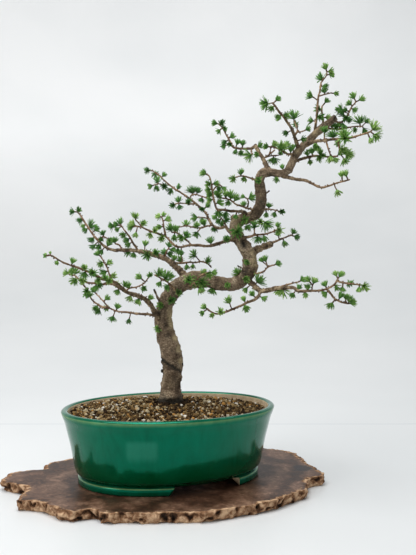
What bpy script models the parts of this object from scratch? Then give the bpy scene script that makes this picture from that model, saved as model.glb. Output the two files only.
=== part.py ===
# Larch bonsai growing in an oval glazed pot that stands on a slab of burl wood.
#
# Lengths are millimetres in the tables and become metres when a mesh is made.
# +X is right, +Z is up and -Y is towards the viewer. The origin is on the slab's
# flat underside, straight below the middle of the pot.
#
# The tree's routes are given as (x, z, depth). x and z are measured on the upright
# plane through the trunk, as seen from EYE, and depth carries the point along its
# line of sight: below zero is nearer the viewer than the trunk.

import math
import random

import bmesh
import bpy
import numpy as np
from mathutils import Vector

METRES = 0.001
GAP = 0.3
EYE = Vector((45.0, -800.0, 247.0))

SLAB_THICKNESS = 12.0
SLAB_UNDERCUT = 3.0
SLAB_BARK_DEPTH = 1.8
SLAB_STEPS = 2
SLAB_SEED = 11

POT_TURN = math.radians(17.0)
POT_HALF_LENGTH = 127.0
POT_HALF_WIDTH = 95.0
POT_HEIGHT = 84.0
POT_FULLNESS = 2.06
POT_SIDES = 36
POT_BASE = SLAB_THICKNESS + GAP
LIP_THICKNESS = 8.6
WALL_THICKNESS = 7.6
FOOT_HEIGHT = 8.5
FOOT_WIDTH = 8.0
FOOT_INSET = 22.0
FLOOR_TOP = 16.0
WINDOW_LEFT = -18.0
WINDOW_RIGHT = 66.0
WINDOW_HEIGHT = 8.2
DRAIN_RADIUS = 9.0
DRAIN_SPREAD = 50.0

SCREEN_SIZE = 25.0
SCREEN_THICKNESS = 1.0
SCREEN_CELLS = 5

SOIL_EDGE = 78.5
SOIL_CENTRE = 87.0
SOIL_RINGS = (0.985, 0.83, 0.64, 0.45, 0.27, 0.08)
SOIL_BUMP = 1.0

TRUNK_SIDES = 10
ROOT_LOBES = 5
ROOT_FLARE = 0.16
ROOT_FLARE_TOP = 116.0
TAPER = 1.35
NEEDLE_LENGTH = 9.0
CORE_RADIUS = 0.85
CORE_HEAD = 1.3
LOWER_LIFT = math.radians(18.0)
UPPER_LIFT = math.radians(48.0)
NEEDLE_REACH = 4.0
TUFT_SPACING = 7.5
CLEARANCE = 0.45

# Outline of the slab's top edge, as (x, y), anticlockwise from the right-hand tip.
SLAB_OUTLINE = (
    (182, -14), (179, 32), (172, 63), (160, 107), (125, 134), (80, 147), (20, 148),
    (-40, 135), (-95, 110), (-133, 80), (-151, 62), (-160, 42), (-157, 30), (-175, 26),
    (-193, 16), (-196, -8), (-191, -22), (-172, -33), (-160, -45), (-157, -75),
    (-157, -89), (-136, -94), (-122, -102), (-99, -120), (-71, -115), (-55, -125),
    (8, -126), (42, -123), (76, -110), (107, -96), (144, -59), (158, -40), (172, -32),
)

# The trunk's centre line, as (x, z, depth, radius), from its foot in the soil up.
TRUNK = (
    (0, 60, 0, 11), (0, 82, 0, 13.8), (0, 92, 0, 14.5), (0.5, 104, 0, 13.5),
    (1, 118, 0, 12.3), (2.5, 133, 0, 12), (2.8, 147, 0, 12.3), (0, 160, 1, 12.2),
    (-3, 171, 2, 12), (-6, 182, 3, 11.5), (-8, 193, 3, 10.6), (-7, 205, 3, 9.6),
    (-5, 216, 3, 9.6), (1, 227, 2, 9.8), (10, 236, 0, 9.8), (20, 242, -2, 10.3),
    (31, 245, -4, 9.8), (42, 244, -6, 9), (52, 241, -8, 8.5), (62, 239, -9, 8.3),
    (73, 239, -10, 8), (82, 242, -10, 7.9), (89, 249, -9, 8), (94, 259, -7, 8.3),
    (95, 270, -4, 8.6), (90, 280, -1, 8.3), (84, 289, 2, 7.8), (79, 299, 4, 7.4),
    (78, 309, 6, 7), (84, 316, 8, 6.8), (93, 318, 9, 6.8), (101, 322, 9, 7),
    (106, 331, 7, 7), (108, 342, 5, 6.6), (107, 353, 3, 6.1), (106, 363, 1, 5.8),
    (110, 370, 0, 5.6), (119, 371.5, -2, 5.3), (129, 370, -3, 4.8), (137, 372, -4, 4.7),
    (143, 380, -4, 4.7), (148, 390, -3, 4.6), (154, 399, -1, 4.4), (163, 408, 1, 4.3),
    (173, 418, 3, 4.3), (184, 427, 5, 4.2), (196, 437, 7, 3.7),
)

# Stubs and knots on the trunk, each from a point inside it to its blunt end.
TRUNK_STUBS = (
    (2.0, 1.2, (-9, 210, 0), (-12, 218, -6), (-19, 233, -12)),
    (1.3, 0.9, (108, 342, 5), (112, 345, 5), (118, 350, 3)),
    (1.4, 0.9, (89, 249, -9), (88, 256, -14), (80, 261, -19)),
    (2.6, 1.8, (3, 146, 0), (15.5, 144, -3)),
    (2.2, 1.4, (2, 135, 0), (-11, 136, -2)),
    (5.2, 3.6, (84, 314, 7), (73.5, 319, 5)),
)

TRUNK_TUFTS = (
    (10, 229), (22, 245), (36, 240, 1.3), (40, 253), (68, 238), (2, 220), (-11, 214),
    (-15, 186), (50, 231), (80, 253, 1.3), (91, 265), (90, 245), (80, 301, 1.3),
    (88, 315), (105, 362), (133, 378), (126, 364), (67, 293),
)

# Every limb has twigs and tufts. A twig is its radius at the foot, its radius at
# the tip and its route; the first twig of a limb grows from the trunk. A tuft is the
# place where its star of needles shows, with a size where it is larger than usual.
LIMBS = {
    "limb_low_left": {
        "twigs": (
            (5, 0.9, (-8, 188, 0), (-15, 199, -6), (-20, 209, -10), (-26, 218, -14),
             (-31, 222, -18), (-40, 226, -24), (-50, 229.5, -30), (-57, 234, -35),
             (-64, 240, -40), (-72, 243, -43), (-82, 246, -46), (-90, 251, -50),
             (-100, 255.5, -54), (-110, 259, -58), (-122, 263, -62), (-131, 267.5, -66),
             (-140, 273, -70), (-146, 273, -72)),
            (1.9, 0.9, (-57, 233, -35), (-66, 238, -38), (-75, 240, -38), (-80, 239, -36),
             (-90, 240, -32), (-99, 241, -28), (-107, 244, -24), (-112, 249, -20),
             (-119, 251, -18)),
            (1.1, 0.9, (-107, 244, -24), (-101, 236, -28), (-97, 232, -30)),
            (1.9, 0.8, (-16, 201, -5), (-25, 203, 0), (-40, 204, 8), (-50, 206, 14),
             (-62, 207, 20), (-70, 210, 24), (-75, 214, 27), (-82, 222, 31),
             (-88, 228, 34)),
            (1.7, 1.0, (-72, 211, 25), (-80, 212, 30), (-87, 216, 36), (-92, 220, 40),
             (-95, 225, 43)),
            (1.0, 0.8, (-53, 231, -32), (-47, 234.5, -36), (-38, 236.5, -42),
             (-31, 240, -47), (-27, 245, -50), (-24, 249, -52)),
            (1.1, 0.8, (-68, 242, -42), (-71, 248, -40), (-74, 257, -38), (-78, 265, -35),
             (-82, 272, -32)),
        ),
        "tufts": (
            (-147, 273), (-142, 276), (-133, 267), (-116, 264), (-116, 257), (-112, 254),
            (-102, 258), (-102, 250), (-92, 252), (-85, 244), (-79, 253), (-77, 246),
            (-72, 243), (-63, 239), (-62, 231), (-53, 239), (-49, 236), (-48, 221),
            (-38, 218), (-31, 234), (-23, 223), (-122, 252), (-114, 242), (-104, 243),
            (-88, 236), (-84, 238), (-99, 231), (-96, 227), (-74, 223), (-69, 197),
            (-49, 195), (-62, 213), (-90, 231), (-76, 211), (-98, 229), (-86, 206),
            (-87, 212), (-37, 248), (-24, 250), (-86, 275), (-82, 263), (-73, 264),
            (-67, 249),
        ),
    },
    "limb_front_left_twig": {
        "twigs": ((1.4, 0.9, (6, 232, -8), (-1, 240, -18), (-10, 246, -26), (-18, 250, -32)),),
        "tufts": ((-5, 248, 1.3), (-13, 239), (-3, 236), (-12, 252), (2, 249)),
    },
    "limb_front_twig": {
        "twigs": ((1.3, 0.9, (23, 237, -12), (30, 243, -18), (36, 249, -22), (45, 253, -24)),),
        "tufts": ((53, 253), (46, 251), (37, 231)),
    },
    "limb_left_back": {
        "twigs": (
            (4.6, 1.0, (18, 249, 6), (8, 259, 10), (0, 266, 14), (-8, 270, 18),
             (-15, 273, 22), (-25, 276, 28), (-35, 278, 33), (-45, 279, 38),
             (-56, 279.5, 44), (-66, 279.5, 49), (-73, 281, 53), (-79, 285, 56),
             (-85, 291, 60), (-90, 296, 63), (-95, 303, 66), (-100, 311, 69),
             (-105, 319, 72), (-110, 325, 75)),
            (1.1, 0.8, (-86, 292, 60), (-78, 295, 54), (-70, 290, 48)),
            (1.6, 1.0, (-57, 280, 44), (-60, 285, 40), (-65, 287, 38)),
            (1.6, 0.9, (-38, 279, 34), (-43, 287, 32), (-48, 295, 30), (-54, 303, 27),
             (-58, 309, 24)),
            (1.2, 0.9, (-6, 270, 17), (-4, 278, 14), (-2, 281, 12)),
            (1.6, 0.9, (2, 265, 13), (12, 264, 16), (22, 265, 19), (31, 264.5, 20),
             (36, 266, 20), (43, 264, 18), (49, 259, 15)),
            (0.9, 0.8, (36, 266, 20), (33, 269, 18), (31, 272, 17)),
        ),
        "tufts": (
            (-117, 325), (-109, 326), (-106, 315), (-103, 308), (-101, 303),
            (-91, 310, 1.3), (-86, 305), (-80, 300), (-91, 294), (-83, 291), (-92, 283),
            (-85, 283), (-82, 277), (-73, 286), (-50, 277), (-43, 276), (-27, 274, 1.4),
            (-29, 288), (-17, 275), (-66, 291), (-71, 291), (-59, 313), (-65, 310),
            (-71, 308), (-63, 304), (-56, 297), (-52, 291), (-50, 286), (-1, 284),
            (4, 280), (-1, 275), (-6, 277), (12, 269), (5, 270), (13, 276),
            (27, 275, 1.3), (45, 267), (20, 259), (27, 260),
        ),
    },
    "limb_mid_left_front": {
        "twigs": (
            (2.4, 1.0, (76, 292, -2), (66, 290, -8), (55, 286.5, -13), (44, 284.5, -18),
             (33, 285.5, -23), (24, 285.5, -27), (15, 283, -31), (8, 283.5, -34),
             (2, 288, -37), (-5, 295, -40), (-14, 299, -44), (-24, 302.5, -48),
             (-33, 306.5, -52), (-40, 308, -55)),
            (1.3, 0.8, (-5, 295.5, -40), (-7, 305, -42), (-8, 313, -43), (-10, 319, -44)),
            (1.2, 0.8, (25, 286, -27), (20, 291, -24), (14, 295, -21), (8, 300, -19),
             (2, 300.5, -18)),
            (0.9, 0.8, (-33, 306.5, -52), (-38, 313, -50), (-41, 316, -48)),
        ),
        "tufts": (
            (-41, 319), (-46, 311), (-48, 306), (-32, 311), (-41, 297), (-24, 297),
            (-10, 294), (-13, 307), (-18, 303), (-14, 319), (-8, 321), (-3, 316),
            (0, 306), (20, 298), (13, 294), (5, 294), (6, 305), (48, 290), (67, 293),
            (13, 277), (9, 280),
        ),
    },
    "limb_left_high_back": {
        "twigs": (
            (2.2, 0.9, (72, 301, 8), (66, 306.5, 14), (58, 305.5, 19), (51, 309, 24),
             (46, 316, 29), (43, 323, 33), (37, 329, 38), (30, 335, 42), (23, 341, 46),
             (17, 345, 50), (12, 348, 53), (5, 352, 57), (-2, 357.5, 61), (-8, 363, 65),
             (-14, 369, 69), (-20, 373, 73), (-25, 374, 75)),
            (1.0, 0.8, (-1, 356.5, 60), (-8, 357, 56), (-14, 358, 53), (-19, 356.5, 50)),
            (1.2, 0.8, (31, 334.5, 42), (25, 334, 38), (18, 335, 34), (11, 335, 31),
             (6, 334, 29)),
            (1.1, 0.8, (24, 342, 46), (26, 345, 44), (31, 345.5, 41), (37, 343.5, 37),
             (43, 341.5, 33)),
            (1.0, 0.8, (45, 317, 29), (40, 318, 25), (34, 318.5, 22)),
            (1.4, 0.8, (50, 309, 24), (43, 308, 20), (37, 306, 16), (28, 306.5, 11),
             (19, 308, 6), (10, 306.5, 2)),
            (0.9, 0.8, (37, 306, 16), (33, 302, 14)),
            (1.0, 0.8, (68, 306, 12), (64, 313, 10), (60, 319, 8), (58, 322, 7)),
        ),
        "tufts": (
            (-27, 374), (-17, 370), (-7, 369), (-15, 362), (-21, 356), (-16, 353),
            (-7, 355), (1, 351), (10, 354), (26, 353, 1.3), (22, 336), (4, 333),
            (10, 338), (11, 331), (32, 347), (37, 339), (46, 346), (30, 318), (38, 316),
            (39, 312), (38, 328), (45, 333), (19, 310), (8, 305), (32, 309), (32, 299),
            (41, 310), (58, 322), (53, 318), (57, 314), (67, 315), (62, 307), (53, 305),
        ),
    },
    "limb_mid_upper_front": {
        "twigs": (
            (2.2, 0.9, (88, 324, 2), (80, 325, -6), (72, 326, -12), (64, 327, -18),
             (56, 328, -24), (53, 335, -28), (51, 343, -31), (50, 351, -34),
             (49, 359, -37), (47, 366, -39), (44, 369, -41)),
            (0.9, 0.8, (51, 350, -34), (54, 354, -36), (58, 357, -38), (60, 356, -40)),
        ),
        "tufts": (
            (39, 371), (45, 358), (52, 358), (61, 355), (58, 352), (44, 351), (48, 345),
            (48, 339), (60, 337), (66, 321), (78, 319), (57, 322),
        ),
    },
    "limb_inner_upper_front": {
        "twigs": (
            (1.3, 0.9, (96, 328, 2), (86, 331, -6), (78, 334, -12), (71, 339, -18),
             (62, 341, -23), (56, 342, -25)),
            (1.0, 0.8, (91, 329.5, -2), (93, 336, -6), (91, 341, -9)),
        ),
        "tufts": (
            (55, 346), (73, 345, 1.3), (66, 344), (69, 336), (77, 339), (58, 345),
            (86, 343), (97, 342), (87, 333),
        ),
    },
    "limb_short_left": {
        "twigs": ((1.6, 0.8, (102, 363, 0), (95, 365, -5), (88, 367, -9), (82, 367, -12),
                   (78, 366, -14)),),
        "tufts": ((84, 370), (74, 364), (88, 364)),
    },
    "limb_upper_left_back": {
        "twigs": (
            (3.6, 2.2, (117, 373, 2), (113, 382, 10), (109, 390, 16), (105, 397, 22),
             (101, 404, 27)),
            (2.0, 0.9, (101, 403, 27), (97, 400.5, 29), (90, 400, 33), (82, 400, 38),
             (75, 402, 42), (71, 409, 46), (67, 416, 50), (63, 423, 54), (58, 429, 58)),
            (0.9, 0.8, (97, 401, 29), (96, 396, 26), (98, 393, 24)),
            (1.2, 0.9, (112, 389, 14), (118, 393, 10), (124, 398, 6)),
            (1.0, 0.8, (112, 389, 14), (119, 391, 14), (126, 391.5, 16), (131, 392.5, 18)),
            (0.9, 0.8, (117, 392, 11), (119, 398, 12), (119, 402, 13)),
        ),
        "tufts": (
            (53, 430), (60, 429), (64, 423), (57, 420), (71, 413), (64, 407), (63, 402),
            (71, 405), (80, 408), (86, 407), (78, 398), (84, 395), (92, 390, 1.3),
            (103, 393), (107, 404), (114, 403), (131, 393), (123, 384, 1.3), (115, 402),
            (123, 404),
        ),
    },
    "limb_inner_left_front": {
        "twigs": ((1.8, 0.9, (148, 393, -4), (140, 393, -12), (134, 396, -17),
                   (128, 399.5, -22), (121, 402, -26)),),
        "tufts": ((134, 403, 1.3), (124, 405), (139, 405), (130, 401), (146, 402), (143, 397)),
    },
    "limb_apex_left": {
        "twigs": (
            (2.5, 1.2, (152, 401, -2), (149, 410, -8), (147, 417, -13), (144, 424, -18),
             (139, 431, -24), (134, 438, -29), (129, 444, -34), (125, 450, -38),
             (121, 454, -41)),
            (1.2, 0.9, (148, 415, -12), (151, 421, -8), (149, 428, -5), (147, 433, -3)),
            (1.0, 0.8, (150, 419, -9), (156, 420, -6), (159, 421, -5)),
            (0.9, 0.8, (149.5, 408.5, -7), (154, 410, -10)),
        ),
        "tufts": (
            (111, 452, 1.3), (128, 459), (120, 447), (130, 438), (137, 438), (137, 418),
            (146, 441, 1.3), (163, 423), (158, 411), (149, 428),
        ),
    },
    "limb_apex_up": {
        "twigs": (
            (1.8, 0.9, (172, 420, 4), (173, 430, 3), (174, 441, 1), (175, 452, -1),
             (176, 461, -3), (178, 469, -4), (179, 477, -5), (182, 482, -6),
             (185, 486, -7), (186, 491, -8)),
            (0.9, 0.8, (175, 457, -2), (171, 460, -4)),
            (1.0, 0.8, (176, 462, -3), (184, 464, 0), (191, 466, 3)),
        ),
        "tufts": (
            (184, 497), (187, 491), (192, 487), (178, 484), (184, 473), (183, 468),
            (165, 463), (197, 465), (166, 433), (178, 437),
        ),
    },
    "limb_apex_back": {
        "twigs": ((1.6, 1.2, (182, 428, 4), (181, 436, 8), (180, 444, 11), (180, 450, 13)),),
        "tufts": ((186, 457), (188, 437), (175, 447)),
    },
    "limb_apex_end": {
        "twigs": ((1.6, 0.9, (193, 433, 8), (200, 431, 12), (206, 433, 15), (211, 440, 18),
                   (215, 449, 21), (220, 455, 24)),),
        "tufts": (
            (217, 463), (228, 459), (213, 453), (218, 446), (209, 436), (207, 446),
            (199, 447, 1.3), (203, 442), (212, 434), (205, 428),
        ),
    },
    "limb_right_high_back": {
        "twigs": ((1.6, 0.9, (186, 424, 6), (194, 423, 14), (203, 423, 22), (212, 425, 30),
                   (221, 426, 38), (228, 426, 44)),),
        "tufts": (
            (225, 436, 1.3), (234, 433), (219, 423), (231, 421), (197, 426), (201, 428),
            (192, 427),
        ),
    },
    "limb_right_front": {
        "twigs": (
            (2.6, 1.0, (160, 404, 0), (170, 407.5, -10), (178, 409, -16), (185, 410, -22),
             (193, 411, -28), (203, 411.5, -34), (213, 412.5, -40), (223, 415, -46),
             (232, 417.5, -52), (238, 420, -56)),
            (1.1, 0.9, (185, 409, -22), (187, 401, -24), (190, 393, -26)),
            (1.1, 0.9, (199, 411, -31), (200, 404, -30), (201, 397, -30)),
            (1.0, 0.9, (183, 410, -21), (183, 417, -20)),
        ),
        "tufts": (
            (245, 428, 1.3), (246, 413, 1.3), (238, 409), (193, 414, 1.3), (207, 413, 1.3),
            (199, 406), (205, 418), (183, 420), (172, 404), (175, 400), (190, 389),
            (209, 395), (214, 391, 1.3), (208, 384), (197, 386), (204, 399),
        ),
    },
    "limb_right_low_back": {
        "twigs": ((2.1, 1.1, (149, 385, -2), (157, 388, 5), (165, 390, 12), (173, 391, 18),
                   (182, 390.5, 24), (191, 390, 30), (198, 391, 35)),),
        "tufts": (
            (163, 393), (166, 384), (178, 396), (168, 398), (181, 391), (199, 392),
            (177, 389),
        ),
    },
    "limb_right_long_front": {
        "twigs": ((2.5, 0.9, (133, 368, -4), (145, 364.5, -12), (155, 363, -19),
                   (163, 361, -25), (170, 357.5, -31), (177, 354.5, -37), (183, 354, -42),
                   (190, 356, -47), (198, 359, -52), (206, 361, -57), (213, 363, -62)),),
        "tufts": ((203, 369), (199, 347), (208, 371)),
    },
    "limb_right_stub_back": {
        "twigs": (
            (5.0, 4.2, (96, 276, -2), (104, 280, 6), (112, 283.5, 12), (120, 286.5, 18)),
            (1.6, 0.9, (118, 287, 17), (125, 289.5, 22), (131, 292.5, 28), (138, 295, 34),
             (144, 297, 40)),
        ),
        "tufts": ((147, 302), (151, 295), (136, 287), (127, 299)),
    },
    "limb_right_mid_front": {
        "twigs": (
            (1.9, 1.0, (86, 294, -2), (94, 295, -10), (101, 297, -16), (110, 298, -22),
             (119, 300, -28), (128, 304, -34)),
            (0.9, 0.8, (100, 297, -16), (100, 305, -15)),
        ),
        "tufts": ((100, 309), (104, 293, 1.3), (112, 293), (128, 309), (130, 302)),
    },
    "limb_right_short_front": {
        "twigs": ((1.4, 1.0, (97, 314, 4), (104, 311.5, -6), (111, 314, -10)),),
        "tufts": ((116, 308, 1.4), (107, 313), (92, 306)),
    },
    "limb_right_small_back": {
        "twigs": ((1.4, 0.8, (108, 328, 10), (116, 328, 18), (124, 327, 24), (131, 325, 30)),),
        "tufts": ((117, 329), (124, 323), (132, 325), (114, 321)),
    },
    "limb_low_right_front": {
        "twigs": (
            (3.8, 1.1, (90, 246, -10), (97, 240, -14), (103, 234, -18), (110, 231, -22),
             (118, 232, -26), (126, 234, -30), (136, 234.5, -34), (146, 235, -38),
             (152, 231, -41), (160, 231, -44), (168, 231, -47), (176, 231.5, -50),
             (184, 233, -53), (191, 236, -56), (196, 240, -58), (199, 246, -60)),
            (1.3, 0.9, (128, 234.5, -30), (138, 238, -28), (146, 240.5, -26),
             (153, 242, -24)),
            (1.2, 0.8, (198, 243, -59), (204, 241, -60), (212, 240, -62), (220, 239, -64),
             (228, 238, -66)),
            (1.4, 1.1, (186, 233, -54), (191, 227, -50), (195, 222, -47), (203, 218, -44),
             (211, 216, -41)),
            (2.1, 1.0, (107, 231, -21), (105, 225, -26), (99, 220, -31), (92, 217.5, -36),
             (84, 214, -41), (74, 209.5, -46), (65, 206, -51), (56, 204, -55),
             (49, 206, -58), (44, 210, -60)),
            (0.9, 0.8, (168, 231, -47), (169, 238, -46)),
        ),
        "tufts": (
            (156, 244), (163, 245), (171, 243), (183, 240), (196, 252), (203, 251),
            (212, 240), (224, 234), (231, 236), (134, 227, 1.3), (145, 226), (128, 230),
            (160, 228), (184, 228), (152, 234), (163, 235), (198, 235), (204, 232),
            (209, 224), (214, 222), (216, 217), (190, 213), (202, 225), (41, 212),
            (38, 205), (50, 203), (60, 206), (69, 221), (88, 220), (90, 211), (112, 222),
            (97, 228), (89, 232), (108, 246, 1.4),
        ),
    },
    "limb_bend_twig": {
        "twigs": ((1.4, 0.9, (98, 252, -9), (106, 252, -16), (112, 255, -20),
                   (116, 259, -24), (122, 261.5, -28)),),
        "tufts": ((129, 264), (112, 270), (108, 268)),
    },
}


def clear_scene():
    for item in list(bpy.data.objects):
        bpy.data.objects.remove(item)


def make_material(name, colour, roughness, coat=0.0):
    material = bpy.data.materials.new(name)
    material.use_nodes = True
    shader = material.node_tree.nodes["Principled BSDF"]
    shader.inputs["Base Color"].default_value = (*colour, 1.0)
    shader.inputs["Roughness"].default_value = roughness
    shader.inputs["Metallic"].default_value = 0.0
    shader.inputs["Coat Weight"].default_value = coat
    material.diffuse_color = (*colour, 1.0)
    return material


# A closed mesh in metres from millimetre corners, with its faces turned outwards. Split
# into triangles, a piece and the cutter that clears it bend alike.
def make_mesh(name, corners, faces, split=False):
    mesh = bpy.data.meshes.new(name)
    mesh.from_pydata([Vector(corner) * METRES for corner in corners], [], faces)
    work = bmesh.new()
    work.from_mesh(mesh)
    bmesh.ops.recalc_face_normals(work, faces=work.faces)
    if split:
        bmesh.ops.triangulate(work, faces=work.faces, quad_method="FIXED")
    work.to_mesh(mesh)
    work.free()
    return mesh


def make_object(name, mesh, material=None, smooth_angle=None):
    item = bpy.data.objects.new(name, mesh)
    bpy.context.scene.collection.objects.link(item)
    if material is not None:
        mesh.materials.clear()
        mesh.materials.append(material)
    if smooth_angle is not None:
        mesh.shade_smooth()
        mesh.set_sharp_from_angle(angle=math.radians(smooth_angle))
    return item


def make_cutter(name, mesh):
    cutter = make_object(name, mesh)
    cutter.hide_render = True
    cutter.display_type = "WIRE"
    return cutter


def add_boolean(item, operation, operand, solver="EXACT"):
    modifier = item.modifiers.new(operation.lower(), "BOOLEAN")
    modifier.operation = operation
    modifier.solver = solver
    if isinstance(operand, bpy.types.Collection):
        modifier.operand_type = "COLLECTION"
        modifier.collection = operand
    else:
        modifier.object = operand
    return modifier


def apply_modifiers(item):
    depsgraph = bpy.context.evaluated_depsgraph_get()
    result = bpy.data.meshes.new_from_object(item.evaluated_get(depsgraph))
    item.modifiers.clear()
    item.data = result


# Rings of equal length joined side by side, with a flat cap at each end.
def ring_faces(ring_count, sides):
    faces = [tuple(range(sides))[::-1]]
    for ring in range(ring_count - 1):
        low = ring * sides
        high = low + sides
        for side in range(sides):
            after = (side + 1) % sides
            faces.append((low + side, low + after, high + after, high + side))
    last = (ring_count - 1) * sides
    faces.append(tuple(range(last, last + sides)))
    return faces


# A smooth closed curve through points, with the given number of steps in each span.
def closed_curve(points, steps):
    curve = []
    count = len(points)
    for index in range(count):
        before, start, end, after = (Vector(points[(index + shift) % count])
                                     for shift in (-1, 0, 1, 2))
        for step in range(steps):
            t = step / steps
            curve.append(0.5 * (2 * start + (end - before) * t
                                + (2 * before - 5 * start + 4 * end - after) * t * t
                                + (3 * start - before - 3 * end + after) * t ** 3))
    return curve


# A slab sawn flat above and below, with its bark still on round the edge.
def build_slab():
    draw = random.Random(SLAB_SEED)
    outline = closed_curve(SLAB_OUTLINE, SLAB_STEPS)
    sides = len(outline)
    heights = (0.0, 0.3 * SLAB_THICKNESS, 0.72 * SLAB_THICKNESS, SLAB_THICKNESS)
    insets = (SLAB_UNDERCUT, 0.0, -0.6, 0.4)
    corners = []
    for row, (height, inset) in enumerate(zip(heights, insets)):
        for index, point in enumerate(outline):
            ahead = outline[(index + 1) % sides]
            behind = outline[index - 1]
            along = (ahead - behind).normalized()
            relief = draw.uniform(-SLAB_BARK_DEPTH, SLAB_BARK_DEPTH) * (0.35 if row == 3 else 1.0)
            place = point + Vector((-along.y, along.x)) * (inset + relief)
            corners.append((place.x, place.y, height))
    mesh = make_mesh("wood_slab", corners, ring_faces(len(heights), sides))
    bark = make_material("burl wood", (0.16, 0.10, 0.07), 0.55)
    return make_object("wood_slab", mesh, bark, 40)


# The pot's outline at an inset from its rim: a slightly squared oval, turned on the slab.
def pot_ring(inset, height, sides=POT_SIDES):
    ring = []
    for side in range(sides):
        angle = math.tau * side / sides
        across, deep = math.cos(angle), math.sin(angle)
        power = 2.0 / POT_FULLNESS
        x = (POT_HALF_LENGTH - inset) * math.copysign(abs(across) ** power, across)
        y = (POT_HALF_WIDTH - inset) * math.copysign(abs(deep) ** power, deep)
        ring.append(pot_place(x, y, height))
    return ring


def pot_place(x, y, height):
    cos_turn, sin_turn = math.cos(POT_TURN), math.sin(POT_TURN)
    return (x * cos_turn - y * sin_turn, x * sin_turn + y * cos_turn, POT_BASE + height)


# The inside of the pot as (inset, height), from the lip's inner edge to the floor.
def pot_inside(clearance):
    lip = LIP_THICKNESS + clearance
    wall = WALL_THICKNESS + clearance
    return [
        (lip, POT_HEIGHT - 4.0), (4.4 + wall, 70.0), (10.8 + wall, 45.0),
        (16.6 + wall, FLOOR_TOP + 8.0), (21.5 + wall, FLOOR_TOP + clearance),
    ]


# An outward swelling body on a narrow foot ring, with a rounded lip.
def build_pot():
    foot_inner = FOOT_INSET + FOOT_WIDTH
    profile = [
        (foot_inner + 1.0, FOOT_HEIGHT), (foot_inner, 0.0), (FOOT_INSET + 0.8, 0.0),
        (FOOT_INSET, 1.4), (FOOT_INSET, 6.8), (FOOT_INSET + 1.2, 8.4),
        (FOOT_INSET + 3.2, 9.4), (FOOT_INSET + 2.6, 11.0),
        (18.6, 14.5), (16.2, 20.0), (10.8, 44.0), (4.6, 69.0), (1.4, 77.0),
    ]
    lip_middle = LIP_THICKNESS / 2.0
    for step in range(4):
        angle = math.pi * (step + 0.4) / 4.0
        rise = math.sin(angle) * 4.0
        profile.append((lip_middle - lip_middle * math.cos(angle), POT_HEIGHT - 4.0 + rise))
    profile += pot_inside(0.0)
    corners = [corner for inset, height in profile for corner in pot_ring(inset, height)]
    mesh = make_mesh("pot", corners, ring_faces(len(profile), POT_SIDES))
    glaze = make_material("green glaze", (0.0, 0.11, 0.055), 0.18, 0.6)
    pot = make_object("pot", mesh, glaze, 35)
    add_boolean(pot, "DIFFERENCE", build_foot_window("front_window", -1))
    add_boolean(pot, "DIFFERENCE", build_foot_window("back_window", 1))
    for name, x in (("left_drain", -DRAIN_SPREAD), ("right_drain", DRAIN_SPREAD)):
        add_boolean(pot, "DIFFERENCE", build_drain(name, x))
    return pot


# The wide low gap in the foot ring, a little wider at the bottom on its left.
def build_foot_window(name, side):
    near = side * (POT_HALF_WIDTH - FOOT_INSET - FOOT_WIDTH - 30.0)
    far = side * (POT_HALF_WIDTH + 5.0)
    outline = (
        (WINDOW_LEFT - 3.5, -1.0), (WINDOW_RIGHT + 0.8, -1.0),
        (WINDOW_RIGHT, WINDOW_HEIGHT), (WINDOW_LEFT, WINDOW_HEIGHT),
    )
    corners = [pot_place(x, y, height) for y in (near, far) for x, height in outline]
    return make_cutter(name, make_mesh(name, corners, ring_faces(2, len(outline))))


def build_drain(name, x):
    sides = 16
    corners = []
    for height in (FOOT_HEIGHT - 3.0, FLOOR_TOP + 3.0):
        for side in range(sides):
            angle = math.tau * side / sides
            corners.append(pot_place(x + DRAIN_RADIUS * math.cos(angle),
                                     DRAIN_RADIUS * math.sin(angle), height))
    return make_cutter(name, make_mesh(name, corners, ring_faces(2, sides)))


# A square of plastic mesh over a drain hole: a plate with every second cell left out.
def build_screen(name, middle):
    work = bmesh.new()
    half = SCREEN_SIZE / 2.0
    bars = [-half + SCREEN_SIZE * step / SCREEN_CELLS for step in range(SCREEN_CELLS + 1)]
    grid = [[work.verts.new(Vector(pot_place(middle + x, y, FLOOR_TOP + GAP)) * METRES)
             for x in bars] for y in bars]
    for row in range(SCREEN_CELLS):
        for column in range(SCREEN_CELLS):
            if row % 2 == 1 and column % 2 == 1:
                continue
            work.faces.new((grid[row][column], grid[row][column + 1],
                            grid[row + 1][column + 1], grid[row + 1][column]))
    flat = list(work.faces)
    raised = bmesh.ops.extrude_face_region(work, geom=flat)
    lifted = [item for item in raised["geom"] if isinstance(item, bmesh.types.BMVert)]
    bmesh.ops.translate(work, verts=lifted, vec=(0, 0, SCREEN_THICKNESS * METRES))
    bmesh.ops.recalc_face_normals(work, faces=work.faces)
    mesh = bpy.data.meshes.new(name)
    work.to_mesh(mesh)
    work.free()
    plastic = make_material(name + " plastic", (0.03, 0.03, 0.03), 0.5)
    return make_object(name, mesh, plastic)


# Height of the soil over the pot's base: a mound round the trunk, lower at the right.
def soil_height(x, y, spread):
    mound = (SOIL_CENTRE - SOIL_EDGE) * math.cos(min(spread, 1.0) * math.pi / 2.0) ** 1.5
    slope = -2.5 * x / POT_HALF_LENGTH
    bumps = math.sin(0.31 * x + 0.9) * math.cos(0.27 * y) + math.sin(0.53 * y - 0.41 * x)
    return SOIL_EDGE + mound + slope + SOIL_BUMP * 0.5 * bumps


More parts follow.
